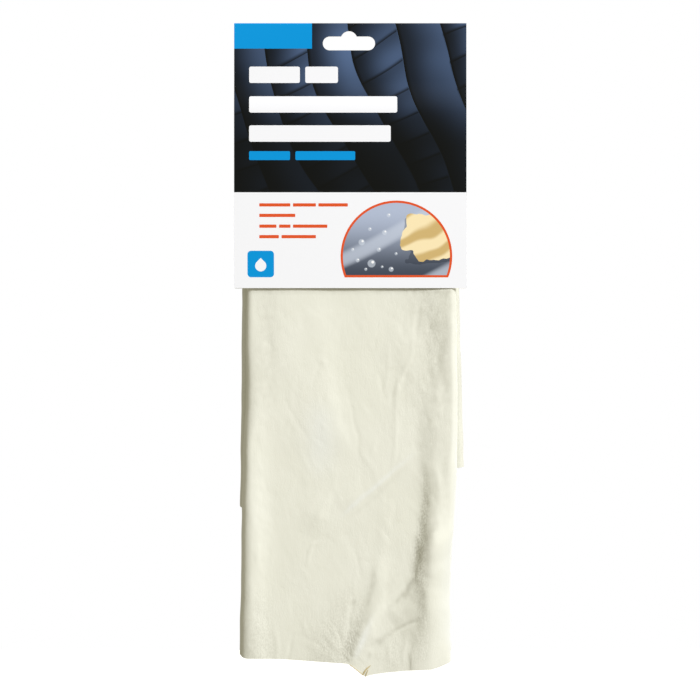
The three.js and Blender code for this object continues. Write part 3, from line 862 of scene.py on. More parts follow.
# Swells and creases of the front layer, as lines in pixels of the photograph.
# Each point has its place across and down, the half width in pixels and the height in millimetres.
FRONT_STROKES = (
    rise(
        400, (436, 286, 14, 2.2), (438, 318, 11, 2.5), (441, 345, 7.5, 2.9), (436, 378, 8, 2.4),
        (428, 402, 8, 2), (426, 425, 8, 2.4), (426, 450, 7.5, 2.6), (427, 475, 6.2, 3.4),
        (427.6, 500, 5.8, 4.1), (426.2, 522, 5, 4), (422.9, 545, 4.3, 5.7), (420.2, 555, 4.2, 3.9),
        (418.6, 563, 4.1, 3.1), (415.4, 575, 3.4, 2.9), (414.6, 584, 3.8, 1.5), (420, 594, 4, 0.2),
        (425, 601, 3.2, 1.1), (423, 618, 4.5, 0.9), (417, 636, 5, 0.4), (413, 650, 4, 0.3),
        (411, 672, 3.4, 0.6)),
    rise(
        400, (432, 480, 8, 0), (431, 505, 8, 0.3), (431, 527, 9, 2.1), (428, 545, 8.5, 4),
        (424, 575, 8.5, 4), (415, 602, 11, 4), (411.5, 625, 12.5, 2.8), (412, 650, 12, 1.8),
        (412, 672, 12, 1.6)),
    rise(
        30, (414, 573, 2.6, 0), (410, 586, 3, 1.4), (404, 598, 3.2, 1.1), (391, 608, 3.4, 0.8),
        (384, 614, 3.4, 0)),
    fall(
        50, (318, 286, 9, 0.4), (322, 318, 9, 0.7), (328, 358, 8, 0.8), (333, 388, 6.5, 1.1),
        (340, 418, 6, 1.1), (347, 440, 5, 0.8), (354, 456, 5, 0)),
    fall(
        60, (258, 286, 9, 0.1), (258, 315, 9, 0.4), (259, 350, 9, 1), (259, 385, 9, 1.9),
        (260, 440, 9.5, 2.4), (261, 500, 10, 2.9), (262, 545, 10, 3.1), (261, 600, 10, 3),
        (260, 640, 10, 2.8), (260, 668, 10, 2.4)),
    rise(
        26, (376, 556, 4, 0), (373, 576, 3.6, 0.7), (370, 594, 4, 1.1), (365, 610, 4.5, 1.5),
        (358, 630, 5.5, 1.6), (350, 648, 6, 0.8), (346, 664, 6, 0.3)),
    ridge(
        (386, 592, 4.5, 0), (378, 608, 4.8, 0.9), (369, 625, 5, 1.3), (359, 641, 5, 1.2),
        (352, 654, 4.4, 0.8), (349, 663, 4, 0.3)),
    ridge(
        (388, 500, 6, 0), (384, 530, 7, 0.35), (381, 560, 7, 0.35), (380, 590, 6, 0.2),
        (380, 606, 5, 0)),
    ridge((417, 598, 2.2, 0), (410, 608, 2.4, 0.4), (402, 617, 2.6, 0.3), (395, 623, 2.6, 0)),
    ridge(
        (424, 620, 1.8, 0), (418, 621, 1.8, -0.3), (410, 623.2, 1.8, -0.45), (402, 627.5, 1.7, -0.5),
        (394, 632, 1.8, -0.35), (385, 637.5, 2.4, -0.45), (377, 643.5, 3.2, -0.6), (370, 651, 3, 0)),
    ridge((387, 640, 1.6, 0), (388.5, 648, 1.6, 0.25), (389.5, 657, 1.6, 0.2), (390, 666, 1.6, 0)),
    ridge((406, 630, 1.7, 0), (405, 642, 1.7, 0.25), (403.5, 654, 1.7, 0.25), (403, 666, 1.7, 0.1)),
    ridge(
        (345, 380, 1.8, 0), (352.5, 412, 1.8, -0.2), (357.5, 436, 1.9, -0.22), (358, 450, 2, -0.14),
        (360, 464, 2, 0)),
    ridge((420, 300, 2, 0), (418, 314, 2.2, -0.42), (416.5, 330, 2.2, -0.35), (417, 342, 2, 0)),
    ridge((415, 336, 2, 0), (411, 356, 2.2, 0.25), (403, 375, 2.2, 0.25), (396, 392, 2.2, 0.15)),
    ridge((387, 338, 2, 0), (389, 362, 2, 0.22), (386.5, 384, 2, 0.24), (383, 396, 2, 0)),
    ridge((378, 370, 2, 0), (382, 385, 2, -0.28), (387, 402, 2, 0)),
    ridge(
        (398, 378, 2, 0.2), (396, 392, 2.2, 0.27), (395, 410, 2.2, 0.25), (396, 432, 2.2, 0.27),
        (394.5, 456, 2.2, 0.2), (392, 476, 2, 0)),
    ridge(
        (348, 379, 1.8, 0), (366, 374.5, 1.8, 0.05), (388, 367, 1.8, 0.03), (404, 363.5, 1.8, 0.08),
        (420, 360, 1.8, 0)),
    ridge((432, 316, 2, 0), (429.5, 328, 2.2, -0.42), (426.5, 340, 2, 0)),
    ridge((446, 322, 3, 0), (443, 340, 4, -0.4), (438, 358, 4, -0.4), (434, 368, 3, 0)),
    ridge((444, 376, 3, 0), (444, 386, 4, -0.4), (442, 396, 3, 0)),
    ridge((268, 318, 4, 0), (270, 340, 4.5, -0.24), (271, 356, 4.5, -0.2), (272, 374, 4, 0)),
    ridge((284, 398, 1.9, 0), (290.5, 411, 1.9, -0.14), (301, 429, 1.9, -0.17), (316, 449, 1.9, 0)),
    fall(
        14, (412, 452, 2.6, 0), (398, 474, 2.6, 0.2), (374, 491, 2.4, 0.5), (358, 503, 2.2, 0.5),
        (344, 515, 2.4, 0)),
    ridge((359, 449, 3, 0), (366, 459, 3.2, 0.18), (373, 469, 3.2, 0.12), (380, 480, 3, 0)),
    ridge((377, 436, 2, 0), (374, 448, 2, 0.22), (371, 458, 2, 0)),
    ridge((338, 470, 3.6, 0), (328, 497, 3.8, 0.3), (318, 518, 3.8, 0.3), (308, 535, 3, 0)),
    ridge((322, 539, 1.6, 0), (313, 545, 1.7, 0.4), (308.5, 553, 1.7, 0.4), (307, 568, 1.6, 0)),
    rise(24, (313, 490, 6, 0), (305, 512, 6, 0.6), (298, 532, 6, 0)),
    ridge((352, 538, 1.8, 0), (357, 560, 1.8, -0.2), (363, 584, 1.8, 0)),
    ridge((274, 620, 2, 0), (276.5, 640, 2.2, 0.3), (277, 660, 2.2, 0.3)),
    ridge((293, 632, 1.6, 0), (290.5, 644, 1.7, -0.3), (288, 660, 1.8, -0.3)),
    ridge((263, 618, 2.6, 0), (263, 642, 2.8, 0.2), (262, 660, 2.8, 0.2)),
    ridge(
        (353, 592, 2, 0), (352, 604, 3, -0.3), (349, 628, 2, -0.3), (347, 643, 2.4, -0.1),
        (346, 656, 2.4, 0)),
    ridge((435.5, 462, 3, 0), (438, 482, 4, 0.5), (440, 508, 5, 0.1), (441, 530, 4, 0)),
)

# In pixels: the longest reach of a line that is traced point by point, and the rows that ease a longer one
LOCAL_REACH, LEAN_STEP = 40, 2
EASING_STEPS = np.linspace(-9, 9, 9)


def along_line(across, down, points):
    """Distance to the right of a line that runs down, and half width and height at the nearest point."""
    points = np.array(points, float)
    best = np.full(across.shape, 1e9)
    signed, half_width, lift = np.zeros(across.shape), np.ones(across.shape), np.zeros(across.shape)
    for start, stop in zip(points, points[1:]):
        step = stop[:2] - start[:2]
        dx, dy = across - start[0], down - start[1]
        t = np.clip((dx * step[0] + dy * step[1]) / (step @ step), 0, 1)
        gap = np.hypot(dx - t * step[0], dy - t * step[1])
        near = gap < best
        side = np.sign(dx * step[1] - dy * step[0])
        best = np.where(near, gap, best)
        signed = np.where(near, gap * side, signed)
        half_width = np.where(near, start[2] + t * (stop[2] - start[2]), half_width)
        lift = np.where(near, start[3] + t * (stop[3] - start[3]), lift)
    return signed, half_width, lift


def along_rows(across, down, points):
    """The same as along_line, row by row and eased, for a long line that runs nearly upright."""
    xs, ys, half_widths, lifts = np.array(points, float).T

    def eased(values, above=0):
        rows = [np.interp(down - above + step, ys, values) for step in EASING_STEPS]
        return np.mean(rows, axis=0)

    lean = (eased(xs) - eased(xs, LEAN_STEP)) / LEAN_STEP
    return (across - eased(xs)) / np.hypot(1, lean), eased(half_widths), eased(lifts)


def stroke_height(across, down, strokes):
    """Height in metres that the strokes give at pixels across and down the photograph."""
    height = np.zeros(across.shape)
    for side, reach, points in strokes:
        trace = along_rows if reach > LOCAL_REACH else along_line
        gap, half_width, lift = trace(across, down, points)
        if side:
            inside = side * gap
            shape = 0.5 * (1 + np.tanh(inside / half_width)) * np.exp(-((np.maximum(inside, 0) / reach) ** 2))
        else:
            shape = np.exp(-((gap / half_width) ** 2))
        height += lift * MM * shape
    return height


# Millimetres aside for each square millimetre along a crease that bows fully
CREASE_BOW = 0.04


def add_crease(height, x, z, centre, lean, length, half_width, lift, bow):
    """Adds one short crease with soft ends to a height field."""
    dx, dz = x - centre[0], z - centre[1]
    across = dx * math.cos(lean) + dz * math.sin(lean)
    along = dz * math.cos(lean) - dx * math.sin(lean)
    across = across + CREASE_BOW * along**2 / MM * bow
    height += lift * np.exp(-((across / half_width) ** 2) - (along / (0.5 * length)) ** 2)


# Kinds of strewn crease: the least share of its height, the spread of its lean in radians, the least and
# greatest length and half width in millimetres, and the most that it bows
FINE_CREASE = (0.3, 0.5, (4, 16), (0.9, 1.6), 1)
BACK_FOLD = (0.4, 0.3, (35, 90), (5, 8), 0.06)
REAR_FOLD = (0.4, 0.3, (35, 90), (2.5, 6), 0.06)

# Strewn creases: how many, their seed, the lowest left and highest right place, their height and their kind
FRONT_CREASES = (130, 31, (-0.064, -0.39), (0.06, -0.17), 0.14 * MM, FINE_CREASE)
CORNER_CREASES = (70, 33, (0.014, -0.27), (0.062, -0.165), 0.17 * MM, FINE_CREASE)
REAR_CREASES = (90, 34, (-0.066, -0.29), (0.068, -0.165), 0.2 * MM, FINE_CREASE)
BACK_FOLDS = (16, 53, (-0.062, -0.4), (0.064, -0.29), 2.6 * MM, BACK_FOLD)
REAR_FOLDS = (14, 35, (-0.06, -0.3), (0.062, -0.175), 1.1 * MM, REAR_FOLD)

# Creases that fan out from a pinched place at the hem: how many, their seed and height, the place in pixels,
# how far out they start and where they fade in millimetres, their lean in radians, and their sizes
FAN_COUNT, FAN_SEED, FAN_HEIGHT, FAN_PLACE = 110, 32, 0.165 * MM, (350, 664)
FAN_OUT, FAN_FADE, FAN_LEAN, FAN_STRAY = (3, 34), 48, (-0.15, 1.35), 0.16
FAN_LEAST, FAN_LENGTH, FAN_HALF_WIDTH = 0.4, (5, 15), (0.55, 1.0)


def strewn_creases(x, z, count, seed, low, high, size, kind):
    """Height of many creases of one kind strewn over a rectangle, most of them nearly upright."""
    least, spread, lengths, half_widths, bow = kind
    random = np.random.RandomState(seed)
    height = np.zeros(x.shape)
    for _ in range(count):
        centre = random.uniform(low[0], high[0]), random.uniform(low[1], high[1])
        lift = random.choice((-1, 1)) * random.uniform(least, 1) * size
        add_crease(
            height, x, z, centre, random.normal(0, spread), random.uniform(*lengths) * MM,
            random.uniform(*half_widths) * MM, lift, random.uniform(-bow, bow))
    return height


def fanned_creases(x, z):
    """Height of fine creases that spread up and to the left from a pinched place at the hem."""
    random = np.random.RandomState(FAN_SEED)
    height = np.zeros(x.shape)
    centre = from_pixel(*FAN_PLACE)
    for _ in range(FAN_COUNT):
        out, lean = random.uniform(*FAN_OUT) * MM, random.uniform(*FAN_LEAN)
        middle = centre[0] - out * math.sin(lean), centre[1] + out * math.cos(lean)
        lift = random.choice((-1, -1, 1)) * random.uniform(FAN_LEAST, 1) * FAN_HEIGHT
        lift = lift * (1 - out / (FAN_FADE * MM))
        add_crease(
            height, x, z, middle, lean + random.normal(0, FAN_STRAY), random.uniform(*FAN_LENGTH) * MM,
            random.uniform(*FAN_HALF_WIDTH) * MM, lift, random.uniform(-1, 1))
    return height


def crumple(x, z, seed):
    """Fine all-over crumple of soft skin in metres."""
    height = 0.26 * MM * turned_noise(x, z, 12, 17, 40, seed)
    height += 0.07 * MM * turned_noise(x, z, -28, 8, 17, seed + 1)
    folded = 1 - np.abs(turned_noise(x, z, 24, 6, 14, seed + 2))
    height += 0.07 * MM * folded**3 * (0.6 + 0.6 * turned_noise(x, z, 60, 30, 30, seed + 3))
    height += 0.03 * MM * turned_noise(x, z, 20, 2.6, 6, seed + 4)
    return height


# Lines that darken and pale the nap: painted shade along creases, hollows and under the card's edge, painted
# highlight along folds and the rolled right edge, and paler lines along a few creases. Points as in the
# strokes, with a tone for a height
SHADE_AND_HIGHLIGHT_LINES = (
    ridge(
        (413, 454, 2, 0.2), (399, 466, 2.2, 0.6), (374, 488, 2.2, 0.9), (352, 506, 2.2, 0.9),
        (342, 516, 2, 0.2)),
    ridge(
        (412, 460, 2.4, 0), (399, 472, 2.4, -0.1), (378, 495, 2.4, -0.2), (357, 512, 2.2, -0.2),
        (346, 520, 2.4, 0)),
    ridge((375, 562, 2.2, 0), (374, 574, 2.4, -0.5), (371.5, 590, 2.6, -0.6), (367, 604, 2.8, -0.4)),
    ridge(
        (366, 604, 4, 0), (361, 620, 4.5, -0.5), (356, 633, 5, -0.5), (350, 645, 5, -0.15),
        (346, 654, 4, 0)),
    ridge(
        (417, 574, 2, 0), (412, 583, 2.2, -0.9), (407, 591, 2.6, -0.9), (401, 599, 3, -0.9),
        (392, 605, 2.8, -0.4), (385, 610, 2.4, 0)),
    ridge(
        (423, 618, 1.6, 0), (415, 621, 1.7, -0.3), (409, 622.5, 1.8, -0.5), (401, 627, 1.8, -0.55),
        (394, 632, 2, -0.25), (385, 638, 3, -0.5), (377, 643.5, 4, -0.8), (370, 650, 4, 0)),
    ridge((369, 651, 1.4, 0), (368.7, 656, 1.6, -1), (368.5, 661, 1.4, 0)),
    ridge((413, 640, 1.2, 0), (411.5, 652, 1.1, -0.8), (410.3, 663, 1, -1.7), (410, 675, 1, -1.2)),
    # Painted shade on the hollow's right flank
    ridge((436, 514, 4, 0), (433.5, 529, 4.5, -0.8), (426, 545, 5, -0.55), (424, 556, 4, 0)),
    ridge(
        (417, 576, 1.8, 0), (421, 585, 1.9, -0.7), (424.2, 593, 2.1, -1.2), (424.4, 600, 2.2, -1.3),
        (424, 607, 2.2, -0.5), (423, 622, 2.4, -0.3), (419, 634, 2.4, 0)),
    ridge((353, 598, 1.8, 0), (353, 602, 2.2, -0.7), (352.5, 608, 1.2, -0.4), (352, 616, 1.2, 0)),
    ridge(
        (430, 276, 26, -0.4), (430, 318, 24, -0.38), (433, 350, 16, -0.25), (434, 380, 12, -0.15),
        (432, 440, 12, -0.35), (430, 470, 9, 0)),
    ridge((266, 276, 12, -0.25), (268, 330, 12, -0.4), (266, 380, 14, -0.4), (262, 430, 10, -0.1)),
    ridge((336, 600, 14, -0.1), (332, 625, 18, -0.2), (326, 650, 20, -0.25), (324, 670, 20, -0.3)),
    ridge((247, 560, 3, 0), (247, 600, 4, -0.3), (250, 650, 7, -0.7), (250, 664, 7, -0.7)),
    ridge(
        (448, 440, 7, 0), (448, 530, 7, 0), (448, 560, 7, 0.5), (447, 630, 8, 0.5), (446, 645, 8, 0),
        (446, 664, 9, -0.45)),
    ridge(
        (446, 286, 4, -0.3), (446, 340, 4, -0.3), (446, 400, 5, -0.35), (446, 440, 5, -0.2),
        (447, 470, 5, -0.4), (448, 500, 6, -0.3), (445, 525, 7, -0.25), (443, 545, 7, 0)),
    ridge(
        (402, 330, 22, 0), (398, 352, 22, -0.2), (408, 380, 20, -0.2), (400, 410, 14, -0.15),
        (396, 440, 14, 0)),
    ridge((394, 560, 10, 0), (394, 580, 10, -0.35), (388, 598, 7, -0.4), (384, 606, 5, 0)),
    ridge(
        (320, 396, 14, 0), (320, 420, 14, 0.8), (321, 445, 14, 0.9), (319, 465, 14, 0.5),
        (314, 482, 10, 0)),
    ridge((374, 612, 3, 0), (367, 630, 3.4, 0.8), (362, 642, 3.6, 1.3), (356, 656, 3, 0.6)),
    # Painted shadow just under the card's lower edge
    ridge((246, 292.4, 1.3, -0.5), (350, 292.4, 1.3, -0.5), (450, 292.4, 1.3, -0.5)),
    # Painted highlight along the front's rolled right edge
    ridge(
        (454, 420, 3, 0.2), (455.5, 480, 3.4, 0.8), (455, 520, 4, 1.2), (454.5, 560, 4, 1.3),
        (454, 600, 4, 1.3), (452.5, 635, 4, 1.3), (451, 664, 4, 0.4)),
)

# Where the nap is crushed and rough, in the same form; the nap's colour also takes dark speckles of painted
# shade there, most of all in the hollows
CRUSH_AND_SHADE_LINES = (
    ridge(
        (424, 462, 4, 0.1), (426, 495, 5, 0.6), (424, 520, 5, 0.9), (420, 550, 6, 1),
        (419, 576, 7, 0.9), (420, 597, 8, 0.45), (423, 625, 7, 0.4), (420, 655, 8, 0.3)),
    ridge((405, 596, 7, 0.1), (398, 620, 10, 0.1), (392, 645, 12, 0.3), (391, 666, 10, 0.4)),
    ridge((350, 590, 8, 0.2), (341, 612, 15, 0.3), (334, 636, 20, 0.42), (326, 664, 22, 0.48)),
    ridge((262, 596, 10, 0.2), (262, 640, 14, 0.4), (264, 664, 14, 0.4)),
    ridge((430, 286, 16, 0.35), (434, 330, 14, 0.35), (430, 370, 12, 0.25), (415, 400, 12, 0.15)),
    ridge((362, 600, 5, 0.3), (357, 630, 6, 0.5), (349, 648, 6, 0.6), (345, 660, 6, 0.5)),
)


# Pixels that lines stray aside in long and in short waves, and how much spots take from a dark one
LONG_STRAY, SHORT_STRAY, SPOT_SHARE = 1.1, 0.5, 0.7


def strayed_pixels(x, z):
    """Pixel of a place in metres, strayed to one side so that no line runs true."""
    far = LONG_STRAY * turned_noise(x, z, 0, 6, 9, 41) + SHORT_STRAY * turned_noise(x, z, 0, 2.6, 4.5, 42)
    return x / PIXEL + ORIGIN_PX[0] + far, ORIGIN_PX[1] - z / PIXEL


def along_lines(x, z, lines):
    """Strength of the nap's tone or crush at places in metres, which carries painted shade and highlight,
    spotty where it is dark.
    """
    strength = stroke_height(*strayed_pixels(x, z), lines) / MM
    spots = 1 + SPOT_SHARE * turned_noise(x, z, 0, 2.6, 3.4, 44)
    return np.where(strength < 0, strength * spots, strength)


# Rows of the photograph, in pixels, where the left side turns softly, where both sides turn more softly,
# and where the fine creases near the right side fade
SOFT_TURN_IN, SOFT_TURN_OUT, LOW_ROWS = (305, 355), (405, 445), (440, 540)
CREASED_COLUMNS, CREASED_FOOT, CREASED_FADE = (372, 400), 470, 60

# Widths of the front layer's rounded sides in millimetres: as a rule, and what low rows and the turn add.
# The right side has a power of its own, and in low rows a narrow rim takes a share of it.
LEFT_ROUNDING, RIGHT_ROUNDING, RIGHT_POWER = (4.8, 2.2, 5.6), (3.4, 11.0, 0), 1.8
RIM_ROUNDING, RIM_SHARE = 1.4, 0.35

# The front layer's swell and the share of its length that it takes, its lowest height, its share of its
# full relief at the top and the share of its length over which that grows, and the height of crushed nap
FRONT_SWELL, FRONT_SWELL_REACH, FRONT_FLOOR = 0.8 * MM, 0.45, -0.3 * MM
FRONT_TOP, FRONT_TOP_REACH, CRUSH_HEIGHT = 0.55, 0.1, 0.13 * MM


def rounded(gap, width, power=2):
    """Share of its full height that relief has at a distance from an edge, over a width in millimetres."""
    return 1 - (1 - np.clip(gap / (width * MM), 0, 1)) ** power


def front_relief(x, z, left_gap, right_gap, down):
    """Height of the front layer off its flat level."""
    across, below = strayed_pixels(x, z)
    height = FRONT_SWELL * smooth(down, 0, FRONT_SWELL_REACH) + stroke_height(across, below, FRONT_STROKES)
    height += crumple(x, z, 3)
    height += strewn_creases(x, z, *FRONT_CREASES)
    height += fanned_creases(x, z)
    crushed = np.minimum(along_lines(x, z, CRUSH_AND_SHADE_LINES), 1)
    height += CRUSH_HEIGHT * crushed * turned_noise(x, z, 6, 2.2, 5, 43)
    creased = smooth(across, *CREASED_COLUMNS) * smooth(CREASED_FOOT - below, 0, CREASED_FADE)
    height += creased * strewn_creases(x, z, *CORNER_CREASES)
    low = smooth(below, *LOW_ROWS)
    soft_turn = smooth(below, *SOFT_TURN_IN) * (1 - smooth(below, *SOFT_TURN_OUT))
    left_width, right_width = (
        plain + low_more * low + turn_more * soft_turn
        for plain, low_more, turn_more in (LEFT_ROUNDING, RIGHT_ROUNDING))
    right_side = rounded(right_gap, right_width, RIGHT_POWER)
    right_side += RIM_SHARE * low * (rounded(right_gap, RIM_ROUNDING) - right_side)
    height = height * rounded(left_gap, left_width) * right_side
    top = FRONT_TOP + (1 - FRONT_TOP) * smooth(down, 0, FRONT_TOP_REACH)
    return np.maximum(height * top, FRONT_FLOOR)


# The inner side's swell: the distances below the hook between which it starts, the width of its sides and its
# softly reached least height. The front's right edge: how far back it rolls, its rows and its width in pixels
# and millimetres
SWELL_ROWS, SWELL_SIDE, SWELL_FLOOR = (298 * MM, 325 * MM), 8 * MM, 0.5 * MM
CURL_DEPTH, CURL_ROWS, CURL_WIDTH = 3.4 * MM, (478, 560), 15


def back_swell(x, z, left_gap, right_gap, flap_gap):
    """How far the front bundle's inner side swells to the back, below the rear bundle's hem."""
    height = 1.4 * MM + 0.9 * MM * turned_noise(x, z, -6, 24, 60, 51)
    height += 0.5 * MM * turned_noise(x, z, 16, 13, 36, 52)
    height += strewn_creases(x, z, *BACK_FOLDS)
    height = (height + np.hypot(height, SWELL_FLOOR)) / 2
    height += WRAP_CURL * bump_at(flap_gap, 0, WRAP_CURL_REACH)
    return height * smooth(-z, *SWELL_ROWS) * smooth(np.minimum(left_gap, right_gap), 0, SWELL_SIDE)


def front_curl(z, right_gap):
    """How far the front bundle's right edge rolls back where nothing is behind it."""
    below = ORIGIN_PX[1] - z / PIXEL
    return CURL_DEPTH * smooth(below, *CURL_ROWS) * (1 - rounded(right_gap, CURL_WIDTH))


# The rear relief's lowest height, the width of its sides, and the share of its length over which it starts
REAR_FLOOR, REAR_SIDE, REAR_TOP = 0.05 * MM, 6 * MM, 0.12


def rear_relief(x, z, left_gap, right_gap, down):
    """Height of the rear layer off its flat level."""
    height = 1.2 * MM + 0.8 * MM * turned_noise(x, z, 8, 26, 70, 11)
    height += crumple(x, z, 13)
    height += strewn_creases(x, z, *REAR_CREASES)
    height += strewn_creases(x, z, *REAR_FOLDS)
    side = smooth(np.minimum(left_gap, right_gap), 0, REAR_SIDE)
    return np.maximum(height, REAR_FLOOR) * side * smooth(down, 0, REAR_TOP)


# A bundle's side of the loop, its width, its edges, its length below the card, its hem and its relief
Bundle = namedtuple("Bundle", "side width edges length foot relief")
FRONT = Bundle(-1, FRONT_WIDTH, FRONT_EDGES, FRONT_LENGTH, front_foot, front_relief)
REAR = Bundle(1, REAR_WIDTH, REAR_EDGES, REAR_LENGTH, rear_foot, rear_relief)

# Loose patches of the nap: the share of fine streaks in them, their tone and their crush
STREAK_SHARE, PATCH_TONE, PATCH_CRUSH = 0.35, 0.5, 0.22

# Painted shade on the rear bundle's nap along its right edge, beside the front bundle
EDGE_SHADE, EDGE_SHADE_REACH = -0.4, 6 * MM


def nap_marks(x, z, face, right_gap, bundle):
    """Tone and crush of the nap, which carry painted shade and painted highlight: along the lines on the
    front's face, and in loose patches elsewhere, with painted shade along the rear bundle's right edge.
    """
    patch_seed, streak_seed = (61, 62) if bundle is FRONT else (63, 64)
    patches = turned_noise(x, z, 14, 20, 46, patch_seed)
    patches = patches + STREAK_SHARE * turned_noise(x, z, -10, 5, 21, streak_seed)
    tone, crush_and_shade = PATCH_TONE * patches, PATCH_CRUSH * smooth(patches, -0.6, 0.5)
    if bundle is FRONT:
        tone = face * along_lines(x, z, SHADE_AND_HIGHLIGHT_LINES) + (1 - face) * tone
        crush_and_shade = face * along_lines(x, z, CRUSH_AND_SHADE_LINES) + (1 - face) * crush_and_shade
    else:
        # Painted shade along the rear bundle's right edge
        tone = tone + EDGE_SHADE * bump_at(right_gap, 0, EDGE_SHADE_REACH)
    return {"nap_tone": tone, "nap_crush": crush_and_shade}


# Colours of the nap where it is raised and flattened, and the dark and pale colours that random tone, painted
# shade and painted highlight mix in
NAP_RAISED, NAP_FLAT = (0.8, 0.808, 0.725, 1), (0.7, 0.705, 0.6, 1)
NAP_DARK, NAP_PALE = (0.32, 0.31, 0.24, 1), (0.84, 0.87, 0.85, 1)


def skin_metres(shader):
    """Coordinates in metres on the flat skin."""
    return shader.node("ShaderNodeUVMap", uv_map="skin_metres").outputs["UV"]


def nap_material(leather):
    """Soft cream suede, mottled, with a fine brushed nap and faint creases, and painted shade and painted
    highlight from its tone and crush.
    """
    shader = Shader("chamois_nap")
    surface = skin_metres(shader)
    tone, crush_and_shade = (
        shader.node("ShaderNodeAttribute", attribute_name=name).outputs["Fac"]
        for name in ("nap_tone", "nap_crush"))
    crush_and_shade = shader.math("MINIMUM", crush_and_shade, 1.0)
    cloud = shader.noise(surface, 22.0, 3.0, 0.55)
    mottle = shader.noise(surface, 150.0, 4.0, 0.6)
    upright = shader.mapped(surface, Scale=(1.0, 0.6, 1.0))
    speckle = shader.ramp(shader.noise(upright, 1050.0, 2.0, 0.6), 0.6, 0.4)
    nap = tuple(leather.cream)
    for share, shade in (
        (shader.ramp(cloud, 0.3, 0.72), NAP_RAISED),
        (shader.ramp(mottle, 0.56, 0.8, 0.0, 0.3), NAP_FLAT),
        # A tone below zero mixes in painted shade and a tone above zero painted highlight, along with random
        # tone; crushed places take dark speckles of painted shade
        (shader.math("MULTIPLY", tone, -0.3, clamp=True), NAP_DARK),
        (shader.math("MULTIPLY", tone, 0.55, clamp=True), NAP_PALE),
        (shader.product(speckle, crush_and_shade, 0.4), NAP_DARK),
    ):
        nap = shader.mix(share, nap, shade)

    leaning = shader.mapped(surface, Rotation=(0, 0, math.radians(14)), Scale=(1.0, 0.45, 1.0))
    combed = shader.mapped(surface, Rotation=(0, 0, math.radians(-9)), Scale=(1.0, 0.26, 1.0))
    crinkle = shader.noise(leaning, 520.0, 3.0, 0.62, 1.2)
    crease = shader.noise(leaning, 260.0, 2.0, 0.5, 1.6)
    streak = shader.noise(combed, 470.0, 2.0, 0.55, 0.8)
    fibre = shader.noise(surface, 2400.0, 4.0, 0.7, 0.6)
    thin = shader.ramp(shader.math("ABSOLUTE", shader.math("SUBTRACT", crease, 0.5)), 0.0, 0.05)
    streaked = shader.ramp(shader.noise(surface, 40.0), 0.4, 0.66, 0.3, 1.0)
    patchy = shader.ramp(shader.noise(surface, 28.0), 0.35, 0.65, 0.35, 1.0)
    rough = shader.math("ADD", shader.product(crush_and_shade, 2.2), 0.62)
    rubbed = shader.math("ADD", shader.product(crush_and_shade, 1.6), 0.5)
    normal = shader.bump(shader.product(crinkle, patchy, rough), 0.5, 0.34 * MM)
    normal = shader.bump(shader.product(thin, patchy), 0.35, 0.06 * MM, normal)
    combing = shader.product(streaked, rubbed)
    normal = shader.bump(shader.product(streak, combing), 0.5, 0.34 * MM, normal)
    normal = shader.bump(fibre, 0.45, 0.14 * MM, normal)
    return shader.set(
        Base_Color=nap, Roughness=0.93, Specular_IOR_Level=0.15, Sheen_Weight=0.25,
        Sheen_Roughness=0.5, Normal=normal)


def cut_edge_material(leather):
    """Darker, fibrous edge where the skin was cut."""
    shader = Shader("chamois_cut_edge")
    fibre = shader.noise(skin_metres(shader), 1800.0, 3.0, 0.6)
    edge = shader.mix(shader.ramp(fibre, 0.3, 0.7), tuple(leather.tan), linear(216, 206, 170))
    return shader.set(Base_Color=edge, Roughness=0.95, Normal=shader.bump(fibre, 0.5, 0.1 * MM))


def bundle_edges(bundle, other, turn, down):
    """Places across of a bundle's left and right edges, row by row."""
    left, right = (
        turn * bundle.width * three_point(edge, down) + (1 - turn) * other.width * other_edge[0]
        for edge, other_edge in zip(bundle.edges, other.edges))
    wobble = EDGE_WOBBLE * smooth(down, 0, WOBBLE_START_SHARE)
    left = left + wobble * wavering(down * bundle.length, WOBBLE_LENGTH, 21)
    right = right + wobble * wavering(down * bundle.length, WOBBLE_LENGTH, 22)
    if bundle is FRONT:
        left = left + LEFT_DRAWN_IN * bump_at(down, *LEFT_DRAWN_SHARES)
        right = right - RIGHT_DRAWN_IN * bump_at(down, *RIGHT_DRAWN_SHARES)
    return left, right


def lay_skin(leather, roll, bundle, other):
    """Place of every point of one half of the skin, and the tone and crush of its nap there, with their
    painted shade and highlight.
    """
    rows = bundle_rows(leather, bundle.length)
    middle = (FOLD_LOW.y + FOLD_HIGH.y) / 2
    inner = BUNDLE_GAP / 2
    card_bottom = CARD_LOW.z
    loop_centre = FOLD_HIGH.z - inner - roll.depth
    turn, inside, down = (rows[:, i : i + 1] for i in range(3))
    left, right = bundle_edges(bundle, other, turn, down)
    hidden = roll.inward > roll.depth - roll.pitch
    stray = 1 + WRAP_STRAY_SHARE * hidden * wavering(down * bundle.length, WRAP_STRAY_LENGTH, 23)
    x = left + (right - left) * roll.share * stray + roll.offset
    radius = inner + roll.depth - roll.inward + 0 * down
    angle = np.pi * turn
    share = np.clip((x - left) / (right - left), 0, 1)
    bottom = card_bottom - bundle.length - bundle.foot(share, roll)
    z = loop_centre + radius * np.sin(angle) + (card_bottom - loop_centre) * inside
    z = z + (bottom - card_bottom) * down
    gaps = x - left, right - x
    lift = bundle.relief(x, z, *gaps, down) * roll.face * smooth(inside, RELIEF_START, 1)
    curl = 0
    if bundle is FRONT:
        flap_gap = np.where(hidden & (roll.share > 0), x[:, :1] - x, FAR)
        in_tail = inside > TAIL_START
        lift = lift - back_swell(x, z, *gaps, flap_gap) * (roll.inward / roll.depth) ** 2 * in_tail
        curl = front_curl(z, right - x) * in_tail
    held = smooth(z, card_bottom - HELD_ABOVE, card_bottom) * smooth(inside, HOLD_START, 1)
    radius = inner + (radius - inner) * (1 - HELD_SHARE * held) - HELD_DEPTH * held
    y = middle - bundle.side * (radius + lift) * np.cos(angle) - bundle.side * curl
    return (x, y, z), nap_marks(x, z, roll.face, right - x, bundle)


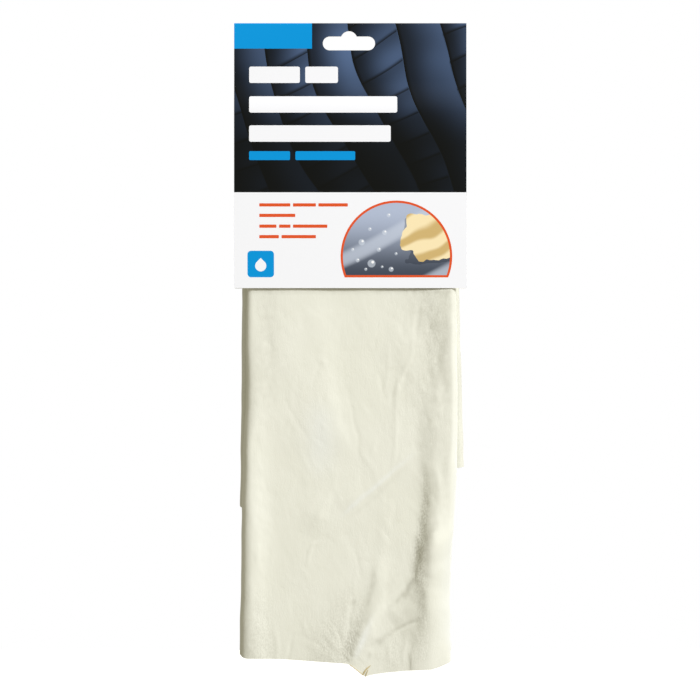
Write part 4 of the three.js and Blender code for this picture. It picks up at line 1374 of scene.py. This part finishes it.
def build_skin(name, leather, bundle, other):
    """Lays one half of the rolled skin over the loop and down to its hem, as one sheet."""
    roll = Roll(leather, bundle.width, bundle is FRONT)
    (x, y, z), marks = lay_skin(leather, roll, bundle, other)
    deselect_all()
    count_down, count_across = x.shape
    bpy.ops.mesh.primitive_grid_add(
        x_subdivisions=count_across - 1, y_subdivisions=count_down - 1, size=2)
    skin = named(name)
    flat = coordinates(skin)
    column = np.rint((flat[:, 0] + 1) / 2 * (count_across - 1)).astype(int)
    row = count_down - 1 - np.rint((flat[:, 1] + 1) / 2 * (count_down - 1)).astype(int)
    place_vertices(skin, np.stack([x[row, column], y[row, column], z[row, column]], axis=1))
    travelled = np.concatenate([[0], np.cumsum(np.abs(np.diff(z[:, count_across // 2])))])
    uv = skin.data.uv_layers[0]
    uv.name = "skin_metres"
    corners = np.empty(len(skin.data.loops), int)
    skin.data.loops.foreach_get("vertex_index", corners)
    metres = np.stack([roll.path[column], travelled[row]], axis=1)[corners]
    uv.data.foreach_set("uv", metres.astype(np.float32).ravel())
    for key, values in marks.items():
        layer = skin.data.attributes.new(key, "FLOAT", "POINT")
        layer.data.foreach_set("value", values[row, column].astype(np.float32))
    skin.data.materials.append(nap_material(leather))
    skin.data.materials.append(cut_edge_material(leather))
    apply_modifier(
        skin, "SOLIDIFY", thickness=leather.thickness, offset=0, use_even_offset=True,
        material_offset_rim=1)
    make_active(skin)
    face_outwards()
    bpy.ops.object.shade_smooth_by_angle(angle=math.radians(SKIN_SMOOTH_ANGLE))
    return skin, roll.path[-1]


# Rolled bits of cut edge at the front hem's tip, in pixels of the photograph, with radii in millimetres
TIP_CURLS = (
    (((363.0, 675.0), (364.6, 671.6), (367.0, 668.4), (370.6, 665.4)), (0.35, 0.5, 0.46, 0.16)),
    (((365.4, 677.0), (366.6, 673.6), (368.2, 669.6)), (0.2, 0.34, 0.12)),
    (((350.0, 664.8), (356.5, 669.8), (363.2, 675.2)), (0.2, 0.24, 0.3)),
)

# How far the rolls lie off the skin, and how far from its edges its relief is read for them
CURL_GAP, CURL_EDGE_GAP = 0.1 * MM, 50 * MM


def add_tip_curls(skin, leather):
    """Adds the rolled cut edge at the tip as thin tapered rolls, joined to the skin."""
    data = bpy.data.curves.new("tip_curls", "CURVE")
    data.dimensions = "3D"
    data.bevel_depth = MM
    data.bevel_resolution = 3
    data.use_fill_caps = True
    pitch = leather.thickness + leather.layer_gap
    outer = (FOLD_LOW.y + FOLD_HIGH.y) / 2 - BUNDLE_GAP / 2 - (max(ROLL_ORDER) + 1) * pitch
    edge_gap = np.array([CURL_EDGE_GAP])
    for line, radii in TIP_CURLS:
        spline = data.splines.new("POLY")
        spline.points.add(len(line) - 1)
        for point, (across, down), radius in zip(spline.points, line, radii):
            x, z = from_pixel(across, down)
            lift = front_relief(np.array([x]), np.array([z]), edge_gap, edge_gap, 1)[0]
            point.co = (x, outer - lift - CURL_GAP, z, 1)
            point.radius = radius
    curls = bpy.data.objects.new("tip_curls", data)
    bpy.context.scene.collection.objects.link(curls)
    make_active(curls)
    bpy.ops.object.convert(target="MESH")
    curls = bpy.context.object
    curls.data.materials.append(skin.data.materials[1])
    make_active(skin)
    curls.select_set(True)
    bpy.ops.object.join()


class CHAMOIS_OT_skin(bpy.types.Operator):
    """Lays the rolled skin over the loop inside the card as two hanging bundles"""

    bl_idname = "chamois.skin"
    bl_label = "Chamois Skin"

    def execute(self, context):
        leather = context.scene.chamois_leather
        front, across = build_skin("skin_front", leather, FRONT, REAR)
        add_tip_curls(front, leather)
        rear, rear_across = build_skin("skin_rear", leather, REAR, FRONT)
        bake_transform(front)
        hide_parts("front_tail", "leather_fold")
        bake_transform(rear)
        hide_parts("rear_tail")
        return {"FINISHED"}


# Stage


def aimed(name, kind, place, target):
    """Adds a light or a camera that looks at a point."""
    data = bpy.data.cameras.new(name) if kind == "CAMERA" else bpy.data.lights.new(name, kind)
    made = bpy.data.objects.new(name, data)
    bpy.context.scene.collection.objects.link(made)
    made.location = place
    made.rotation_euler = (Vector(target) - Vector(place)).to_track_quat("-Z", "Y").to_euler()
    return made


def around(centre, azimuth, elevation, distance):
    """Place at an azimuth to the right of the camera, an elevation and a distance from a point."""
    turn, lift = math.radians(azimuth), math.radians(elevation)
    out = Vector((math.sin(turn) * math.cos(lift), -math.cos(turn) * math.cos(lift), math.sin(lift)))
    return Vector(centre) + out * distance


# Round lights: azimuth and elevation in degrees, and width in metres
KEY_DISC, BACK_DISC = (42, 35, 1.8), (145, 32, 2.4)
LIGHT_DISTANCE, LIGHT_COLOUR = 6.0, (0.97, 0.97, 1)
SENSOR_WIDTH, CLIP_END, FLOOR_WIDTH = 36, 100, 40
WHITE = (1, 1, 1, 1)


class CHAMOIS_OT_stage(bpy.types.Operator):
    """Sets the floor, the lights and the camera"""

    bl_idname = "chamois.stage"
    bl_label = "Stage"

    def execute(self, context):
        stage = context.scene.chamois_stage
        centre_x, centre_z = from_pixel(PHOTO_SIDE / 2, PHOTO_SIDE / 2)
        centre = (centre_x, CARD_LOW.y, centre_z)
        camera = aimed("camera", "CAMERA", (centre_x, CARD_LOW.y - stage.distance, centre_z), centre)
        camera.data.sensor_width = SENSOR_WIDTH
        camera.data.lens = SENSOR_WIDTH * stage.distance / (PHOTO_SIDE * PIXEL)
        camera.data.clip_end = CLIP_END
        context.scene.camera = camera

        for name, (azimuth, elevation, width), power in (
            ("key_light", KEY_DISC, stage.key_power),
            ("back_light", BACK_DISC, stage.back_power),
        ):
            light = aimed(name, "AREA", around(centre, azimuth, elevation, LIGHT_DISTANCE), centre)
            light.data.shape = "DISK"
            light.data.size = width
            light.data.energy = power
            light.data.color = LIGHT_COLOUR

        deselect_all()
        bpy.ops.mesh.primitive_plane_add(size=FLOOR_WIDTH, location=(0, 0, -stage.floor_drop))
        floor = named("floor")
        settle(floor)
        pale = Shader("pale_floor")
        pale.set(Base_Color=WHITE, Emission_Color=WHITE, Emission_Strength=1.0)
        floor.data.materials.append(pale.material)
        floor.visible_diffuse = False
        floor.visible_glossy = False
        floor.visible_shadow = False

        self.light_room(context, stage)
        context.scene.view_settings.view_transform = "Standard"
        return {"FINISHED"}

    def light_room(self, context, stage):
        """Fills the room with an even light and a white backdrop."""
        world = bpy.data.worlds.new("pale_room")
        context.scene.world = world
        world.use_nodes = True
        tree = world.node_tree
        fill = tree.nodes["Background"]
        fill.inputs["Color"].default_value = (*stage.fill, 1)
        fill.inputs["Strength"].default_value = 1.0
        backdrop = tree.nodes.new("ShaderNodeBackground")
        backdrop.inputs["Color"].default_value = WHITE
        backdrop.inputs["Strength"].default_value = 1.0
        seen = tree.nodes.new("ShaderNodeLightPath")
        either = tree.nodes.new("ShaderNodeMixShader")
        tree.links.new(seen.outputs["Is Camera Ray"], either.inputs[0])
        tree.links.new(fill.outputs[0], either.inputs[1])
        tree.links.new(backdrop.outputs[0], either.inputs[2])
        tree.links.new(either.outputs[0], tree.nodes["World Output"].inputs["Surface"])


# Panel and registration


class CHAMOIS_PT_sidebar(bpy.types.Panel):
    """Lists the steps that build the pack"""

    bl_label = "Chamois Hang Pack"
    bl_idname = "CHAMOIS_PT_sidebar"
    bl_space_type = "VIEW_3D"
    bl_region_type = "UI"
    bl_category = "Chamois"

    def draw(self, context):
        for operator in OPERATORS:
            self.layout.operator(operator.bl_idname)
        for group in (context.scene.chamois_card, context.scene.chamois_leather, context.scene.chamois_stage):
            box = self.layout.box()
            for key in group.bl_rna.properties.keys():
                if key not in {"rna_type", "name"}:
                    box.prop(group, key)


SETTINGS = {"chamois_card": CardSettings, "chamois_leather": LeatherSettings, "chamois_stage": StageSettings}
OPERATORS = (CHAMOIS_OT_header_card, CHAMOIS_OT_fastenings, CHAMOIS_OT_skin, CHAMOIS_OT_stage)


def register():
    """Registers the settings, the operators and the panel."""
    for cls in (*SETTINGS.values(), *OPERATORS, CHAMOIS_PT_sidebar):
        bpy.utils.register_class(cls)
    for key, cls in SETTINGS.items():
        setattr(bpy.types.Scene, key, bpy.props.PointerProperty(type=cls))


def unregister():
    """Takes the classes out again."""
    for key in SETTINGS:
        delattr(bpy.types.Scene, key)
    for cls in reversed((*SETTINGS.values(), *OPERATORS, CHAMOIS_PT_sidebar)):
        bpy.utils.unregister_class(cls)


def main():
    """Builds every piece and the stage."""
    register()
    bpy.ops.chamois.header_card()
    bpy.ops.chamois.fastenings()
    bpy.ops.chamois.skin()
    bpy.ops.chamois.stage()


if __name__ == "__main__":
    main()
